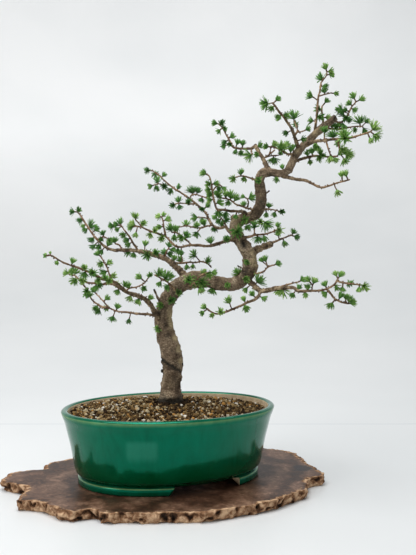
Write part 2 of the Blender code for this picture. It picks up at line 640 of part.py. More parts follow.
def build_soil(trunk_cutter):
    rows = pot_inside(GAP + 0.05)[::-1]
    rows = [row for row in rows if row[1] < SOIL_EDGE - 6.0]
    rows[0] = (rows[0][0], FLOOR_TOP + GAP)
    corners = [corner for inset, height in rows for corner in pot_ring(inset, height)]
    edge_inset = WALL_THICKNESS + GAP + 3.2
    for spread in SOIL_RINGS:
        for side in range(POT_SIDES):
            angle = math.tau * side / POT_SIDES
            x = spread * (POT_HALF_LENGTH - edge_inset) * math.cos(angle)
            y = spread * (POT_HALF_WIDTH - edge_inset) * math.sin(angle)
            corners.append(pot_place(x, y, soil_height(x, y, spread)))
    mesh = make_mesh("soil", corners, ring_faces(len(rows) + len(SOIL_RINGS), POT_SIDES))
    earth = make_material("soil", (0.045, 0.025, 0.015), 0.95)
    soil = make_object("soil", mesh, earth, 60)
    add_boolean(soil, "DIFFERENCE", trunk_cutter)
    for name, x in (("left_recess", -DRAIN_SPREAD), ("right_recess", DRAIN_SPREAD)):
        add_boolean(soil, "DIFFERENCE", build_recess(name, x))
    return soil


# The shallow place that a drain screen takes under the soil.
def build_recess(name, middle):
    reach = SCREEN_SIZE / 2.0 + GAP
    square = ((-reach, -reach), (reach, -reach), (reach, reach), (-reach, reach))
    corners = []
    for height in (FLOOR_TOP - 2.0, FLOOR_TOP + GAP + SCREEN_THICKNESS + GAP):
        corners += [pot_place(middle + x, y, height) for x, y in square]
    return make_cutter(name, make_mesh(name, corners, ring_faces(2, 4)))


def place(x, z, depth):
    reading = Vector((x, 0.0, z))
    return EYE + (reading - EYE) * ((depth - EYE.y) / -EYE.y)


# Even cross directions along a route, carried from ring to ring without twisting.
def route_frames(points):
    frames = []
    side = None
    for index, point in enumerate(points):
        ahead = points[min(index + 1, len(points) - 1)]
        behind = points[max(index - 1, 0)]
        along = (ahead - behind).normalized()
        if side is None:
            side = along.orthogonal()
        side = (side - along * side.dot(along)).normalized()
        frames.append((side, along.cross(side)))
    return frames


# A round stem along a route; shape(index, angle) may swell or pinch its radius.
def tube_mesh(name, points, radii, sides, shape=None, split=False):
    corners = []
    for index, (point, frame) in enumerate(zip(points, route_frames(points))):
        for side in range(sides):
            angle = math.tau * side / sides
            radius = radii[index] * (shape(index, angle) if shape else 1.0)
            spread = frame[0] * math.cos(angle) + frame[1] * math.sin(angle)
            corners.append(point + spread * radius)
    return make_mesh(name, corners, ring_faces(len(points), sides), split)


def trunk_points():
    return [place(x, z, depth) for x, z, depth, radius in TRUNK]


# Bark lumps all the way up, and lobes at the foot where the roots spread.
def trunk_shape(index, angle):
    height = TRUNK[index][1]
    lumps = 0.035 * math.sin(2 * angle + 0.13 * height) + 0.025 * math.cos(3 * angle - 0.21 * height)
    low = max(0.0, min(1.0, (ROOT_FLARE_TOP - height) / 20.0)) if height > 85 else 0.0
    return 1.0 + lumps + low * ROOT_FLARE * (0.5 + 0.5 * math.cos(ROOT_LOBES * angle))


def trunk_mesh(name, growth):
    points = trunk_points()
    points[0].z -= growth
    radii = [row[3] + growth for row in TRUNK]
    return tube_mesh(name, points, radii, TRUNK_SIDES, trunk_shape, split=True)


def taper_radii(points, foot, tip):
    lengths = [0.0]
    for before, after in zip(points, points[1:]):
        lengths.append(lengths[-1] + (after - before).length)
    return [tip + (foot - tip) * (1.0 - length / lengths[-1]) ** TAPER for length in lengths]


# The points and radii of one twig. A limb's first twig starts on the trunk's centre
# line, so that it can be cut off along the trunk's bark.
def twig_line(twig, from_trunk):
    foot, tip, *route = twig
    points = [place(*spot) for spot in route]
    radii = taper_radii(points, foot, tip)
    if from_trunk:
        core = trunk_points()
        spans = [nearest_on_line(points[0], *span) for span in zip(core, core[1:])]
        points.insert(0, min(spans, key=lambda spot: (spot - points[0]).length))
        radii.insert(0, foot * 1.2)
        radii[1] = foot * 1.15
    return points, radii


def nearest_on_line(point, start, end):
    along = end - start
    share = max(0.0, min(1.0, (point - start).dot(along) / along.length_squared))
    return start + along * share


def twig_mesh(name, line):
    points, radii = line
    sides = 6 if radii[0] > 3.0 else 4 if radii[0] > 1.15 else 3
    grown = [radius / math.cos(math.pi / sides) ** 0.5 for radius in radii]
    return tube_mesh(name, points, grown, sides)


# Every stretch of wood as (start, end, radius, owner), to keep the needles clear of it.
def wood_stretches(limb_lines):
    stretches = []
    core = trunk_points()
    for index in range(len(core) - 1):
        radius = max(TRUNK[index][3], TRUNK[index + 1][3]) * 1.06
        stretches.append((core[index], core[index + 1], radius, "trunk"))
    for foot, tip, *route in TRUNK_STUBS:
        points = [place(*spot) for spot in route]
        stretches += [(a, b, foot, "trunk") for a, b in zip(points, points[1:])]
    for name, lines in limb_lines.items():
        for points, radii in lines:
            for index in range(len(points) - 1):
                stretches.append((points[index], points[index + 1], radii[index] * 1.2, name))
    return stretches


# The wood and needles already placed, and who each stretch belongs to.
class Surroundings:
    def __init__(self, stretches):
        self.starts = np.array([tuple(row[0]) for row in stretches])
        self.spans = np.array([tuple(row[1] - row[0]) for row in stretches])
        self.radii = np.array([row[2] for row in stretches])
        self.owners = np.array([row[3] for row in stretches])

    # The least space between a stretch of the given radius and everything of other
    # owners, by the nearest pair of points on two straight lines of limited length.
    def space(self, start, end, radius, owner):
        others = self.owners != owner
        starts, spans = self.starts[others], self.spans[others]
        line = np.array(tuple(end - start))
        offset = np.array(tuple(start)) - starts
        line_length = line @ line
        span_length = (spans * spans).sum(axis=1)
        span_offset = (spans * offset).sum(axis=1)
        line_offset = offset @ line
        mixed = spans @ line
        spread = line_length * span_length - mixed * mixed
        share = np.where(spread > 1e-9, (mixed * span_offset - line_offset * span_length)
                         / np.where(spread > 1e-9, spread, 1.0), 0.0).clip(0, 1)
        other = ((mixed * share + span_offset) / span_length).clip(0, 1)
        share = ((mixed * other - line_offset) / line_length).clip(0, 1)
        apart = offset + share[:, None] * line - other[:, None] * spans
        return (np.sqrt((apart * apart).sum(axis=1)) - self.radii[others]).min() - radius

    def add(self, needles, owner):
        starts = np.array([tuple(start) for start, end in needles])
        ends = np.array([tuple(end) for start, end in needles])
        self.starts = np.vstack([self.starts, starts])
        self.spans = np.vstack([self.spans, ends - starts])
        self.radii = np.append(self.radii, np.full(len(needles), 0.6))
        self.owners = np.append(self.owners, [owner] * len(needles))


# Where a tuft grows from: the nearest spot on the limb's own wood, on the seen plane.
def tuft_root(limb_routes, x, z):
    best = None
    for route in limb_routes:
        for start, end in zip(route, route[1:]):
            flat_start, flat_end = Vector(start[:2]), Vector(end[:2])
            along = flat_end - flat_start
            share = (Vector((x, z)) - flat_start).dot(along) / max(along.length_squared, 1e-9)
            share = max(0.05, min(0.98, share))
            spot = Vector(start).lerp(Vector(end), share)
            away = (Vector((x, z)) - spot.xy).length
            if best is None or away < best[0]:
                best = (away, spot)
    return best[1]


# The foot, axis, spur length and needle length of a tuft. The spur points from the
# wood to the place where the star shows, and leans forwards or back by a seeded draw.
def tuft_stance(limb_routes, tuft, draw):
    x, z = tuft[:2]
    size = tuft[2] if len(tuft) > 2 else 1.0
    spot = tuft_root(limb_routes, x, z)
    lean = draw.uniform(-7.0, 4.5)
    foot = place(*spot)
    star = place(x, z, spot[2] + lean)
    axis = star - foot
    needle = NEEDLE_LENGTH * size * draw.uniform(0.92, 1.08)
    spur = max(2.4, axis.length - NEEDLE_REACH * size)
    return foot, axis.normalized(), spur, needle


# The six needles round a spur's head and the one at its top, as (base corners, tip).
def tuft_needles(foot, axis, spur, needle, turn):
    side = axis.orthogonal().normalized()
    cross = axis.cross(side)

    def around(angle, radius, along):
        spread = side * math.cos(angle) + cross * math.sin(angle)
        return foot + axis * along + spread * radius

    third = math.tau / 3.0
    low = [around(turn + third * k, CORE_RADIUS, spur - CORE_HEAD) for k in range(3)]
    high = [around(turn + third * (k + 0.5), CORE_RADIUS * 0.9, spur) for k in range(3)]
    root = [around(turn + third * k, CORE_RADIUS * 0.65, 0.0) for k in range(3)]
    needles = []
    for k in range(3):
        following = (k + 1) % 3
        for base, lift, angle in (
            ((low[k], low[following], high[k]), LOWER_LIFT, turn + third * (k + 0.5)),
            ((low[following], high[following], high[k]), UPPER_LIFT, turn + third * (k + 1.0)),
        ):
            middle = (base[0] + base[1] + base[2]) / 3.0
            spread = side * math.cos(angle) + cross * math.sin(angle)
            reach = spread * math.cos(lift) + axis * math.sin(lift)
            needles.append((base, middle + reach * needle))
    crown = (high[0] + high[1] + high[2]) / 3.0
    needles.append((tuple(high), crown + axis * needle * 0.95))
    return root, low, high, needles


# One tuft as a closed mesh: a slim three-sided spur whose head bears the needles.
# A needle that isn't kept leaves its plain face behind.
def tuft_mesh(root, low, high, needles, kept):
    corners = root + low + high
    faces = [(2, 1, 0)]
    faces += [(k, (k + 1) % 3, (k + 1) % 3 + 3, k + 3) for k in range(3)]
    bases = []
    for k in range(3):
        following = (k + 1) % 3
        bases.append((3 + k, 3 + following, 6 + k))
        bases.append((3 + following, 6 + following, 6 + k))
    bases.append((6, 7, 8))
    for base, (spots, tip), keep in zip(bases, needles, kept):
        if not keep:
            faces.append(base)
            continue
        corners.append(tip)
        top = len(corners) - 1
        faces += [(base[0], base[1], top), (base[1], base[2], top), (base[2], base[0], top)]
    return make_mesh("tuft", corners, faces)


# The tufts of one limb as meshes. Each star is turned until most of its needles are
# clear of what other pieces have there, and those that still aren't are left off.
def grow_tufts(name, number, routes, tufts, around):
    meshes = []
    heads = []
    for index, tuft in enumerate(tufts):
        draw = random.Random(1000 * number + index)
        foot, axis, spur, needle = tuft_stance(routes, tuft, draw)
        head = foot + axis * spur
        if any((head - other).length < TUFT_SPACING for other in heads):
            continue
        if around.space(foot, head, CORE_RADIUS + CLEARANCE, name) < 0.0:
            continue
        start = draw.uniform(0.0, math.tau / 3.0)
        best = None
        for step in range(6):
            turn = start + step * math.tau / 18.0
            parts = tuft_needles(foot, axis, spur, needle, turn)
            kept = []
            for base, tip in parts[3]:
                middle = (base[0] + base[1] + base[2]) / 3.0
                kept.append(around.space(middle, tip, 0.6 + CLEARANCE, name) > 0.0)
            if best is None or sum(kept) > sum(best[1]):
                best = (parts, kept)
            if all(kept):
                break
        parts, kept = best
        if sum(kept) < 3:
            continue
        heads.append(head)
        meshes.append(tuft_mesh(*parts, kept))
        clear = [((base[0] + base[1] + base[2]) / 3.0, tip)
                 for (base, tip), keep in zip(parts[3], kept) if keep]
        around.add(clear, name + " needles")
        around.add([(foot, head)], name)
    return meshes


# One closed body from a base object and the meshes that grow from it.
def join_repeats(item, meshes):
    collection = bpy.data.collections.new(item.name + " repeats")
    bpy.context.scene.collection.children.link(collection)
    for mesh in meshes:
        collection.objects.link(bpy.data.objects.new("repeat", mesh))
    add_boolean(item, "UNION", collection, "MANIFOLD")
    apply_modifiers(item)
    for repeat in list(collection.objects):
        bpy.data.objects.remove(repeat)
    bpy.data.collections.remove(collection)


# Takes away every loose scrap beside the largest connected body of a mesh.
def keep_largest_body(item):
    work = bmesh.new()
    work.from_mesh(item.data)
    unseen = set(work.verts)
    bodies = []
    while unseen:
        stack = [unseen.pop()]
        body = list(stack)
        while stack:
            for edge in stack.pop().link_edges:
                for corner in edge.verts:
                    if corner in unseen:
                        unseen.remove(corner)
                        stack.append(corner)
                        body.append(corner)
        bodies.append(body)
    bodies.sort(key=len)
    for body in bodies[:-1]:
        bmesh.ops.delete(work, geom=body, context="VERTS")
    work.to_mesh(item.data)
    work.free()


def build_trunk(around, bark):
    trunk = make_object("trunk", trunk_mesh("trunk", 0.0))
    repeats = []
    for foot, tip, *route in TRUNK_STUBS:
        points = [place(*spot) for spot in route]
        repeats.append(tube_mesh("stub", points, taper_radii(points, foot, tip), 6))
    route = [row[:3] for row in TRUNK]
    repeats += grow_tufts("trunk", 0, [route], TRUNK_TUFTS, around)
    join_repeats(trunk, repeats)
    finish_wood(trunk, bark)
    return trunk


def finish_wood(item, material):
    keep_largest_body(item)
    item.data.materials.clear()
    item.data.materials.append(material)
    item.data.shade_smooth()
    item.data.set_sharp_from_angle(angle=math.radians(45))


def build_limb(name, number, lines, around, trunk_cutter, leafy):
    limb = make_object(name, twig_mesh(name, lines[0]))
    repeats = [twig_mesh("twig", line) for line in lines[1:]]
    routes = [twig[2:] for twig in LIMBS[name]["twigs"]]
    repeats += grow_tufts(name, number, routes, LIMBS[name]["tufts"], around)
    join_repeats(limb, repeats)
    add_boolean(limb, "DIFFERENCE", trunk_cutter, "MANIFOLD")
    apply_modifiers(limb)
    finish_wood(limb, leafy)
    return limb


def build_tree():
    lines = {}
    for name, limb in LIMBS.items():
        lines[name] = [twig_line(twig, index == 0) for index, twig in enumerate(limb["twigs"])]
    around = Surroundings(wood_stretches(lines))
    bark = make_material("larch bark", (0.15, 0.11, 0.075), 0.85)
    leafy = make_material("larch needles and twigs", (0.08, 0.2, 0.05), 0.6)
    trunk_cutter = make_cutter("trunk_room", trunk_mesh("trunk_room", GAP + 0.05))
    build_trunk(around, bark)
    for number, name in enumerate(LIMBS, start=1):
        build_limb(name, number, lines[name], around, trunk_cutter, leafy)
    return trunk_cutter


def build_all():
    clear_scene()
    build_slab()
    build_pot()
    build_screen("drain_screen_left", -DRAIN_SPREAD)
    build_screen("drain_screen_right", DRAIN_SPREAD)
    trunk_cutter = build_tree()
    build_soil(trunk_cutter)


build_all()
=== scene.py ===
import math
import random

import bpy
import numpy as np
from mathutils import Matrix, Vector


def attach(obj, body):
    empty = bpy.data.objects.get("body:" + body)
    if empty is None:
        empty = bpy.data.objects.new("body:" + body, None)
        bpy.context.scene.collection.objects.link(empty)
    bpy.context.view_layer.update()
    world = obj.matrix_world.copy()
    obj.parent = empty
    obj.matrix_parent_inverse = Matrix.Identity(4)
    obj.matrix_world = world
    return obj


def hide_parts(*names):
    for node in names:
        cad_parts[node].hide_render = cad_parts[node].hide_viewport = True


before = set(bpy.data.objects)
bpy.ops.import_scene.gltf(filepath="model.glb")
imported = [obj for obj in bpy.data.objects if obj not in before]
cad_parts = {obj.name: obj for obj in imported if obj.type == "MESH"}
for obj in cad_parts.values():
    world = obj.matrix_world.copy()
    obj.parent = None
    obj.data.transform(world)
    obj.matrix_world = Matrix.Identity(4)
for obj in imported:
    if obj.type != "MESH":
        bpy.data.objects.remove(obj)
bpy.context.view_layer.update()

mm = 0.001
view = {"eye": (45.0, -800.0, 247.0), "lens": 43.78, "sensor": 36.0}
eye = np.array(view["eye"])


# Noise: random values on a lattice, blended between its corners with a smooth step.
def noise(spots, size, seed):
    lattice = np.random.default_rng(seed).uniform(-1.0, 1.0, (32, 32, 32))
    spots = np.asarray(spots) / size
    cell = np.floor(spots).astype(int)
    part = spots - cell
    part = part * part * (3.0 - 2.0 * part)
    total = 0.0
    for corner in range(8):
        step = np.array([corner & 1, corner >> 1 & 1, corner >> 2 & 1])
        at = (cell + step) % 32
        share = np.where(step, part, 1.0 - part).prod(axis=-1)
        total = total + share * lattice[at[..., 0], at[..., 1], at[..., 2]]
    return total


# Layers of noise, each half the size and a little over half the strength of the last.
def layered(spots, size, seed, layers=3):
    return sum(noise(spots, size / 2 ** k, seed + k) * 0.55 ** k for k in range(layers))


# A soft bump: 1 at zero distance, falling off as a bell of the given width.
def bell(distance, width):
    return np.exp(-(distance / width) ** 2)


# A smooth rise from 0 at low to 1 at high: 3 t squared - 2 t cubed.
def smoothStep(low, high, value):
    t = np.clip((value - low) / (high - low), 0.0, 1.0)
    return t * t * (3.0 - 2.0 * t)


# Meshes gathered part by part, then joined as one piece with its point attributes.
class Shape:
    def __init__(self):
        self.corners = []
        self.quads = []
        self.tris = []
        self.facts = []
        self.count = 0

    def add(self, form, **facts):
        corners, quads, tris = form
        self.corners.append(corners)
        self.quads.append(np.asarray(quads).reshape(-1, 4) + self.count)
        self.tris.append(np.asarray(tris).reshape(-1, 3) + self.count)
        self.facts.append({key: np.broadcast_to(value, len(corners)) for key, value in facts.items()})
        self.count += len(corners)

    def piece(self, name, finish, node, slot, smooth=True):
        corners = np.concatenate(self.corners) * mm
        quads, tris = np.concatenate(self.quads), np.concatenate(self.tris)
        mesh = bpy.data.meshes.new(name)
        mesh.vertices.add(len(corners))
        mesh.vertices.foreach_set("co", corners.astype(np.float32).ravel())
        loops = np.concatenate([quads.ravel(), tris.ravel()])
        sizes = np.concatenate([np.full(len(quads), 4), np.full(len(tris), 3)])
        mesh.loops.add(len(loops))
        mesh.loops.foreach_set("vertex_index", loops.astype(np.int32))
        mesh.polygons.add(len(sizes))
        mesh.polygons.foreach_set("loop_start", (np.cumsum(sizes) - sizes).astype(np.int32))
        mesh.polygons.foreach_set("use_smooth", np.full(len(sizes), smooth))
        mesh.update(calc_edges=True)
        mesh.validate()
        for key in self.facts[0]:
            values = np.concatenate([facts[key] for facts in self.facts]).astype(np.float32)
            mesh.attributes.new(key, "FLOAT", "POINT").data.foreach_set("value", values)
        mesh.materials.append(finish)
        made = bpy.data.objects.new(name, mesh)
        bpy.context.scene.collection.objects.link(made)
        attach(made, "root")
        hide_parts(node)


# Angles once round, evenly spaced.
def turns(count):
    return np.linspace(0.0, 2 * np.pi, count, endpoint=False)


# Quads of a grid of rows by columns whose columns close into a ring.
def ringQuads(rows, columns):
    row, column = np.meshgrid(np.arange(rows - 1), np.arange(columns), indexing="ij")
    after = (column + 1) % columns
    low, high = row * columns, (row + 1) * columns
    return np.stack([low + column, low + after, high + after, high + column], axis=-1).reshape(-1, 4)


# A fan from one pole to a ring that starts at the given corner.
def poleTris(pole, ringStart, columns, turned):
    column = np.arange(columns)
    after = (column + 1) % columns
    tris = np.stack([np.full(columns, pole), ringStart + column, ringStart + after], axis=-1)
    return tris[:, ::-1] if turned else tris


# A closed skin over a grid of rows of corners, with a pole at each end.
def skin(rows, firstPole, lastPole):
    count, columns = rows.shape[:2]
    corners = np.concatenate([rows.reshape(-1, 3), [firstPole], [lastPole]])
    tris = np.concatenate([poleTris(count * columns, 0, columns, True),
                           poleTris(count * columns + 1, (count - 1) * columns, columns, False)])
    return corners, ringQuads(count, columns), tris


# One value for each corner of a skin: those of its grid, then the two poles' own.
def withPoles(values, first, last):
    return np.append(values.ravel(), [first, last])


# The smooth curve from b to c at shares t, with a before it and d after it (Catmull-Rom).
def smoothSpan(a, b, c, d, t):
    return 0.5 * (2 * b + (c - a) * t + (2 * a - 5 * b + 4 * c - d) * t ** 2
                  + (3 * b - a - 3 * c + d) * t ** 3)


# A smooth route: a curve through every point, read again at even steps of its length.
def smoothRoute(rows, step):
    rows = np.asarray(rows, float)
    padded = np.vstack([2 * rows[0] - rows[1], rows, 2 * rows[-1] - rows[-2]])
    a, b, c, d = (padded[k:len(padded) - 3 + k, None] for k in range(4))
    t = np.linspace(0.0, 1.0, 12, endpoint=False)[None, :, None]
    curve = np.vstack([smoothSpan(a, b, c, d, t).reshape(-1, rows.shape[1]), rows[-1]])
    lengths = np.concatenate([[0], np.cumsum(np.linalg.norm(np.diff(curve[:, :3], axis=0), axis=1))])
    reads = np.linspace(0.0, lengths[-1], max(3, int(lengths[-1] / step) + 1))
    return np.stack([np.interp(reads, lengths, column) for column in curve.T], axis=1), reads


# Vectors brought to length 1.
def unit(vectors):
    return vectors / np.maximum(np.linalg.norm(vectors, axis=-1, keepdims=True), 1e-9)


# Directions across a route: one square to it and nearly to the depth axis, one square to both.
def routeFrames(centres):
    along = unit(np.gradient(centres, axis=0))
    across = unit(np.cross(along, (0.12, 1.0, 0.08)))
    return along, across, np.cross(along, across)


# Spokes round every step of a route: cos angle x across + sin angle x other.
def spokes(across, other, angle):
    return across[:, None] * np.cos(angle)[:, None] + other[:, None] * np.sin(angle)[:, None]


# A round stem: centre + radius x relief x spoke, with a slightly domed end.
def stem(centres, radii, sides, relief=1.0):
    along, across, other = routeFrames(centres)
    reach = radii[:, None] * relief * np.ones((1, sides))
    rows = centres[:, None] + spokes(across, other, turns(sides)) * reach[..., None]
    return skin(rows, centres[0] - along[0] * radii[0] * 0.2, centres[-1] + along[-1] * radii[-1] * 0.5)


# A reading (x, z, depth) carried along its line of sight from the eye.
def place(x, z, depth):
    reading = np.array([x, 0.0, z])
    return eye + (reading - eye) * ((depth - eye[1]) / -eye[1])


# One value on its way through a shader: + - and * on it add their Math nodes.
class Wire:
    def __init__(self, finish, socket):
        self.finish = finish
        self.socket = socket

    def maths(self, operation, first, second):
        return self.finish.node("ShaderNodeMath", {"operation": operation}, {0: first, 1: second})

    def __add__(self, other):
        return self.maths("ADD", self, other)

    def __radd__(self, other):
        return self.maths("ADD", other, self)

    def __sub__(self, other):
        return self.maths("SUBTRACT", self, other)

    def __rsub__(self, other):
        return self.maths("SUBTRACT", other, self)

    def __mul__(self, other):
        return self.maths("MULTIPLY", self, other)

    def __rmul__(self, other):
        return self.maths("MULTIPLY", other, self)

    # 0 below low, 1 above high and a smooth slope between them.
    def between(self, low, high):
        return self.finish.node("ShaderNodeMapRange", {"interpolation_type": "SMOOTHSTEP"},
                                {0: self, 1: low, 2: high})


# A material under construction: any node from one method, and the finish's own shader.
class Finish:
    def __init__(self, name):
        self.material = bpy.data.materials.new(name)
        self.material.use_nodes = True
        self.tree = self.material.node_tree
        self.shader = self.tree.nodes["Principled BSDF"]
        self.where = self.node("ShaderNodeTexCoord", {}, {}, out="Object")

    # A node by its type, its settings (a ramp's stops among them) and its sockets' values.
    def node(self, kind, settings, inputs, out=0):
        made = self.tree.nodes.new(kind)
        for key, value in settings.items():
            if key == "stops":
                ramp = made.color_ramp.elements
                while len(ramp) < len(value):
                    ramp.new(0.5)
                for element, (spot, colour) in zip(ramp, value):
                    element.position, element.color = spot, (*colour, 1.0)
            else:
                setattr(made, key, value)
        for key, value in inputs.items():
            self.feed(made.inputs[key], value)
        return Wire(self, made.outputs[out])

    # A socket gets a link from a wire, or a plain value; a colour gets its alpha of 1.
    def feed(self, socket, value):
        if isinstance(value, Wire):
            self.tree.links.new(value.socket, socket)
        elif isinstance(value, tuple) and len(value) == 3 and socket.type == "RGBA":
            socket.default_value = (*value, 1.0)
        else:
            socket.default_value = value

    # The object's own coordinates, with each axis scaled.
    def stretched(self, *scale):
        return self.node("ShaderNodeMapping", {}, {"Vector": self.where, "Scale": scale})

    # One of the object's own coordinates.
    def axis(self, name):
        return self.node("ShaderNodeSeparateXYZ", {}, {0: self.where}, out=name)

    # Soft noise, then the distance in a pattern of cells, each at a scale per metre.
    def cloud(self, scale, detail=4.0, rough=0.55, warp=0.0, vector=None):
        return self.node("ShaderNodeTexNoise", {}, {"Vector": vector or self.where, "Scale": scale,
                         "Detail": detail, "Roughness": rough, "Distortion": warp})

    def cells(self, scale, feature="F1", vector=None):
        return self.node("ShaderNodeTexVoronoi", {"feature": feature},
                         {"Vector": vector or self.where, "Scale": scale}, out="Distance")

    # A value that the mesh carries at each of its points.
    def fact(self, name):
        return self.node("ShaderNodeAttribute", {"attribute_name": name}, {}, out="Fac")

    # A colour read off stops of (place, colour).
    def ramp(self, value, *stops):
        return self.node("ShaderNodeValToRGB", {"stops": stops}, {0: value})

    # The first colour to the second, by share.
    def blend(self, share, first, second, way="MIX"):
        return self.node("ShaderNodeMix", {"data_type": "RGBA", "blend_type": way},
                         {0: share, 6: first, 7: second}, out=2)

    def bump(self, height, distance, strength):
        return self.node("ShaderNodeBump", {},
                         {"Height": height, "Distance": distance, "Strength": strength})

    # The finished material: each value goes to the shader's socket of that name.
    def done(self, **sockets):
        for key, value in sockets.items():
            self.feed(self.shader.inputs[key.replace("_", " ")], value)
        return self.material


# Bark: tone by two noises added up (large patches, fine grain), darkened along the cell
# borders of stretched cells and by fine noise; the mesh's dark places and painted highlights on top.
def barkFinish():
    f = Finish("larchBark")
    plates = f.cells(300.0, "DISTANCE_TO_EDGE", f.stretched(1.0, 1.0, 1.7))
    patches = f.cloud(62.0, 5.0, 0.62, 0.5)
    grain = f.cloud(380.0, 4.0, 0.65, 0.8, f.stretched(1.0, 1.0, 2.4))
    tone = f.ramp(patches * 0.85 + grain * 0.40,
                  (0.43, (0.058, 0.037, 0.026)), (0.53, (0.170, 0.118, 0.078)),
                  (0.64, (0.35, 0.255, 0.165)), (0.78, (0.60, 0.48, 0.33)))
    fine = f.cloud(1150.0, 3.0, 0.7)
    borders = (1.0 - plates.between(0.0, 0.12)) * (0.2 + patches * 0.9)
    cracked = f.blend(borders, tone, (0.045, 0.030, 0.019))
    cracked = f.blend(fine.between(0.62, 0.40) * 0.35, cracked, (0.080, 0.054, 0.033))
    # Painted highlight: a pale tan where light falls on the bark, laid on the mesh's pale places.
    paintedHighlight = f.ramp(grain * 0.5 + fine * 0.5, (0.34, (0.22, 0.155, 0.080)), (0.50, (0.46, 0.360, 0.205)),
                    (0.66, (0.74, 0.610, 0.390)))
    poresAndHighlights = f.blend((f.fact("pale") * (0.45 + patches)).between(0.1, 0.8) * 0.85, cracked, paintedHighlight)
    marked = f.blend(f.fact("dark"), poresAndHighlights, (0.024, 0.023, 0.019))
    height = plates.between(0.0, 0.16) * 0.6 + grain * 0.5 + patches * 0.3 + fine * 0.35
    return f.done(Base_Color=marked, Roughness=0.86 - grain * 0.12, Specular_IOR_Level=0.15,
                  Normal=f.bump(height, 0.0009, 1.0))


# Twigs: two noises added up pick a reddish tone for young wood and a grey-tan one for
# old, mixed by the mesh's "old" value; its "dark" value adds the dark knobs and cracks.
def twigFinish():
    f = Finish("larchTwigs")
    grain = f.cloud(600.0, 4.0, 0.6, 0.6)
    patches = f.cloud(110.0, 3.0, 0.6)
    young = f.ramp(grain * 0.5 + patches * 0.55, (0.40, (0.045, 0.026, 0.016)),
                   (0.51, (0.170, 0.100, 0.054)), (0.66, (0.50, 0.330, 0.190)))
    old = f.ramp(grain * 0.5 + patches * 0.6, (0.44, (0.036, 0.025, 0.016)),
                 (0.55, (0.150, 0.104, 0.062)), (0.69, (0.46, 0.350, 0.215)))
    tone = f.blend(f.fact("old"), young, old)
    spurs = f.blend(f.fact("dark"), tone, (0.055, 0.034, 0.022))
    return f.done(Base_Color=spurs, Roughness=0.74 + grain * 0.15, Specular_IOR_Level=0.18,
                  Normal=f.bump(grain, 0.0004, 0.7))


# Needles: colour straight from the mesh's tint (tuft + needle + way along it), and up to
# a third darker towards the foot of each needle, as painted shade inside the tuft.
def needleFinish():
    f = Finish("larchNeedles")
    tone = f.ramp(f.fact("tint"), (0.0, (0.036, 0.118, 0.034)), (0.36, (0.082, 0.225, 0.048)),
                  (0.70, (0.170, 0.355, 0.070)), (1.0, (0.36, 0.53, 0.150)))
    footShaded = f.blend((1.0 - f.fact("along")) * 0.35, tone, (0.05, 0.12, 0.015))
    return f.done(Base_Color=footShaded, Roughness=0.6, Specular_IOR_Level=0.18)


# Glaze: stretched noise picks the green, the mesh's low value darkens it towards the
# foot as a painted dark reflection, a pale window patch is a painted reflection, thin x
# streaks turns it pale on edges, and bare + noise past a half shows the clay.
def potFinish():
    f = Finish("emeraldGlaze")
    thin, bare, low, haze = f.fact("thin"), f.fact("bare"), f.fact("low"), f.fact("haze")
    flow = f.cloud(26.0, 4.0, 0.6, 1.2, f.stretched(1.0, 1.0, 0.35))
    streaks = f.cloud(95.0, 3.0, 0.6, 0.0, f.stretched(1.0, 1.0, 0.12))
    speckle = f.cloud(900.0, 2.0, 0.5)
    deep = f.ramp(flow * 0.75 + streaks * 0.3, (0.36, (0.0, 0.052, 0.021)), (0.52, (0.0, 0.074, 0.034)),
                  (0.68, (0.0, 0.100, 0.050)))
    # Painted dark reflection: the green darkened towards the foot.
    paintedLowReflection = f.blend(low * 0.75, deep, (0.0, 0.046, 0.009))
    # Painted reflection: a pale teal patch on the front left stands in for a window's reflection.
    reflectedGlaze = f.blend((haze + (streaks - 0.5) * haze).between(0.1, 1.2) * 0.5, paintedLowReflection, (0.035, 0.19, 0.125))
    edge = f.blend((thin * (0.75 + streaks * 0.5)).between(0.15, 0.85), reflectedGlaze, (0.24, 0.34, 0.12))
    clay = f.ramp(f.cloud(160.0, 5.0, 0.6) * 0.7 + speckle * 0.3, (0.35, (0.40, 0.26, 0.155)),
                  (0.65, (0.62, 0.45, 0.30)))
    raw = (bare + (flow - 0.5) * 0.25).between(0.42, 0.58)
    return f.done(Base_Color=f.blend(raw, edge, clay), Roughness=0.10 + raw * 0.75 + speckle * 0.03,
                  Specular_IOR_Level=0.75, Specular_Tint=(0.02, 1.0, 0.62),
                  Coat_Weight=(1.0 - raw) * 0.06, Coat_Roughness=0.03,
                  Normal=f.bump(flow * (1.0 - raw) + speckle * raw * 0.6, 0.0007, 0.35))


# Soil: noise plus a share of cell distance as tone; the cells also raise the crumbs.
def soilFinish():
    f = Finish("dampSoil")
    crumbs = f.cells(420.0)
    tone = f.ramp(f.cloud(300.0, 5.0, 0.7) + crumbs * 0.2, (0.3, (0.014, 0.009, 0.005)),
                  (0.6, (0.060, 0.036, 0.018)), (0.85, (0.15, 0.095, 0.045)))
    return f.done(Base_Color=tone, Roughness=0.9, Specular_IOR_Level=0.15,
                  Normal=f.bump(crumbs, 0.0015, 0.9))


# Grains: each grain's own draw picks one flat colour of seven; fine noise darkens pores.
def grainFinish():
    f = Finish("soilGrains")
    pores = f.cloud(1400.0, 3.0, 0.7)
    tone = f.ramp(f.fact("kind"), (0.0, (0.028, 0.015, 0.006)), (0.26, (0.085, 0.048, 0.017)),
                  (0.48, (0.180, 0.108, 0.040)), (0.66, (0.34, 0.230, 0.100)), (0.79, (0.52, 0.27, 0.075)),
                  (0.83, (0.56, 0.46, 0.29)), (0.955, (0.86, 0.81, 0.70)))
    tone.socket.node.color_ramp.interpolation = "CONSTANT"
    poresAndHighlights = f.blend(pores.between(0.35, 0.75) * 0.5, tone, (0.02, 0.014, 0.01), "MULTIPLY")
    return f.done(Base_Color=poresAndHighlights, Roughness=0.9, Specular_IOR_Level=0.15,
                  Normal=f.bump(pores, 0.0004, 0.8))
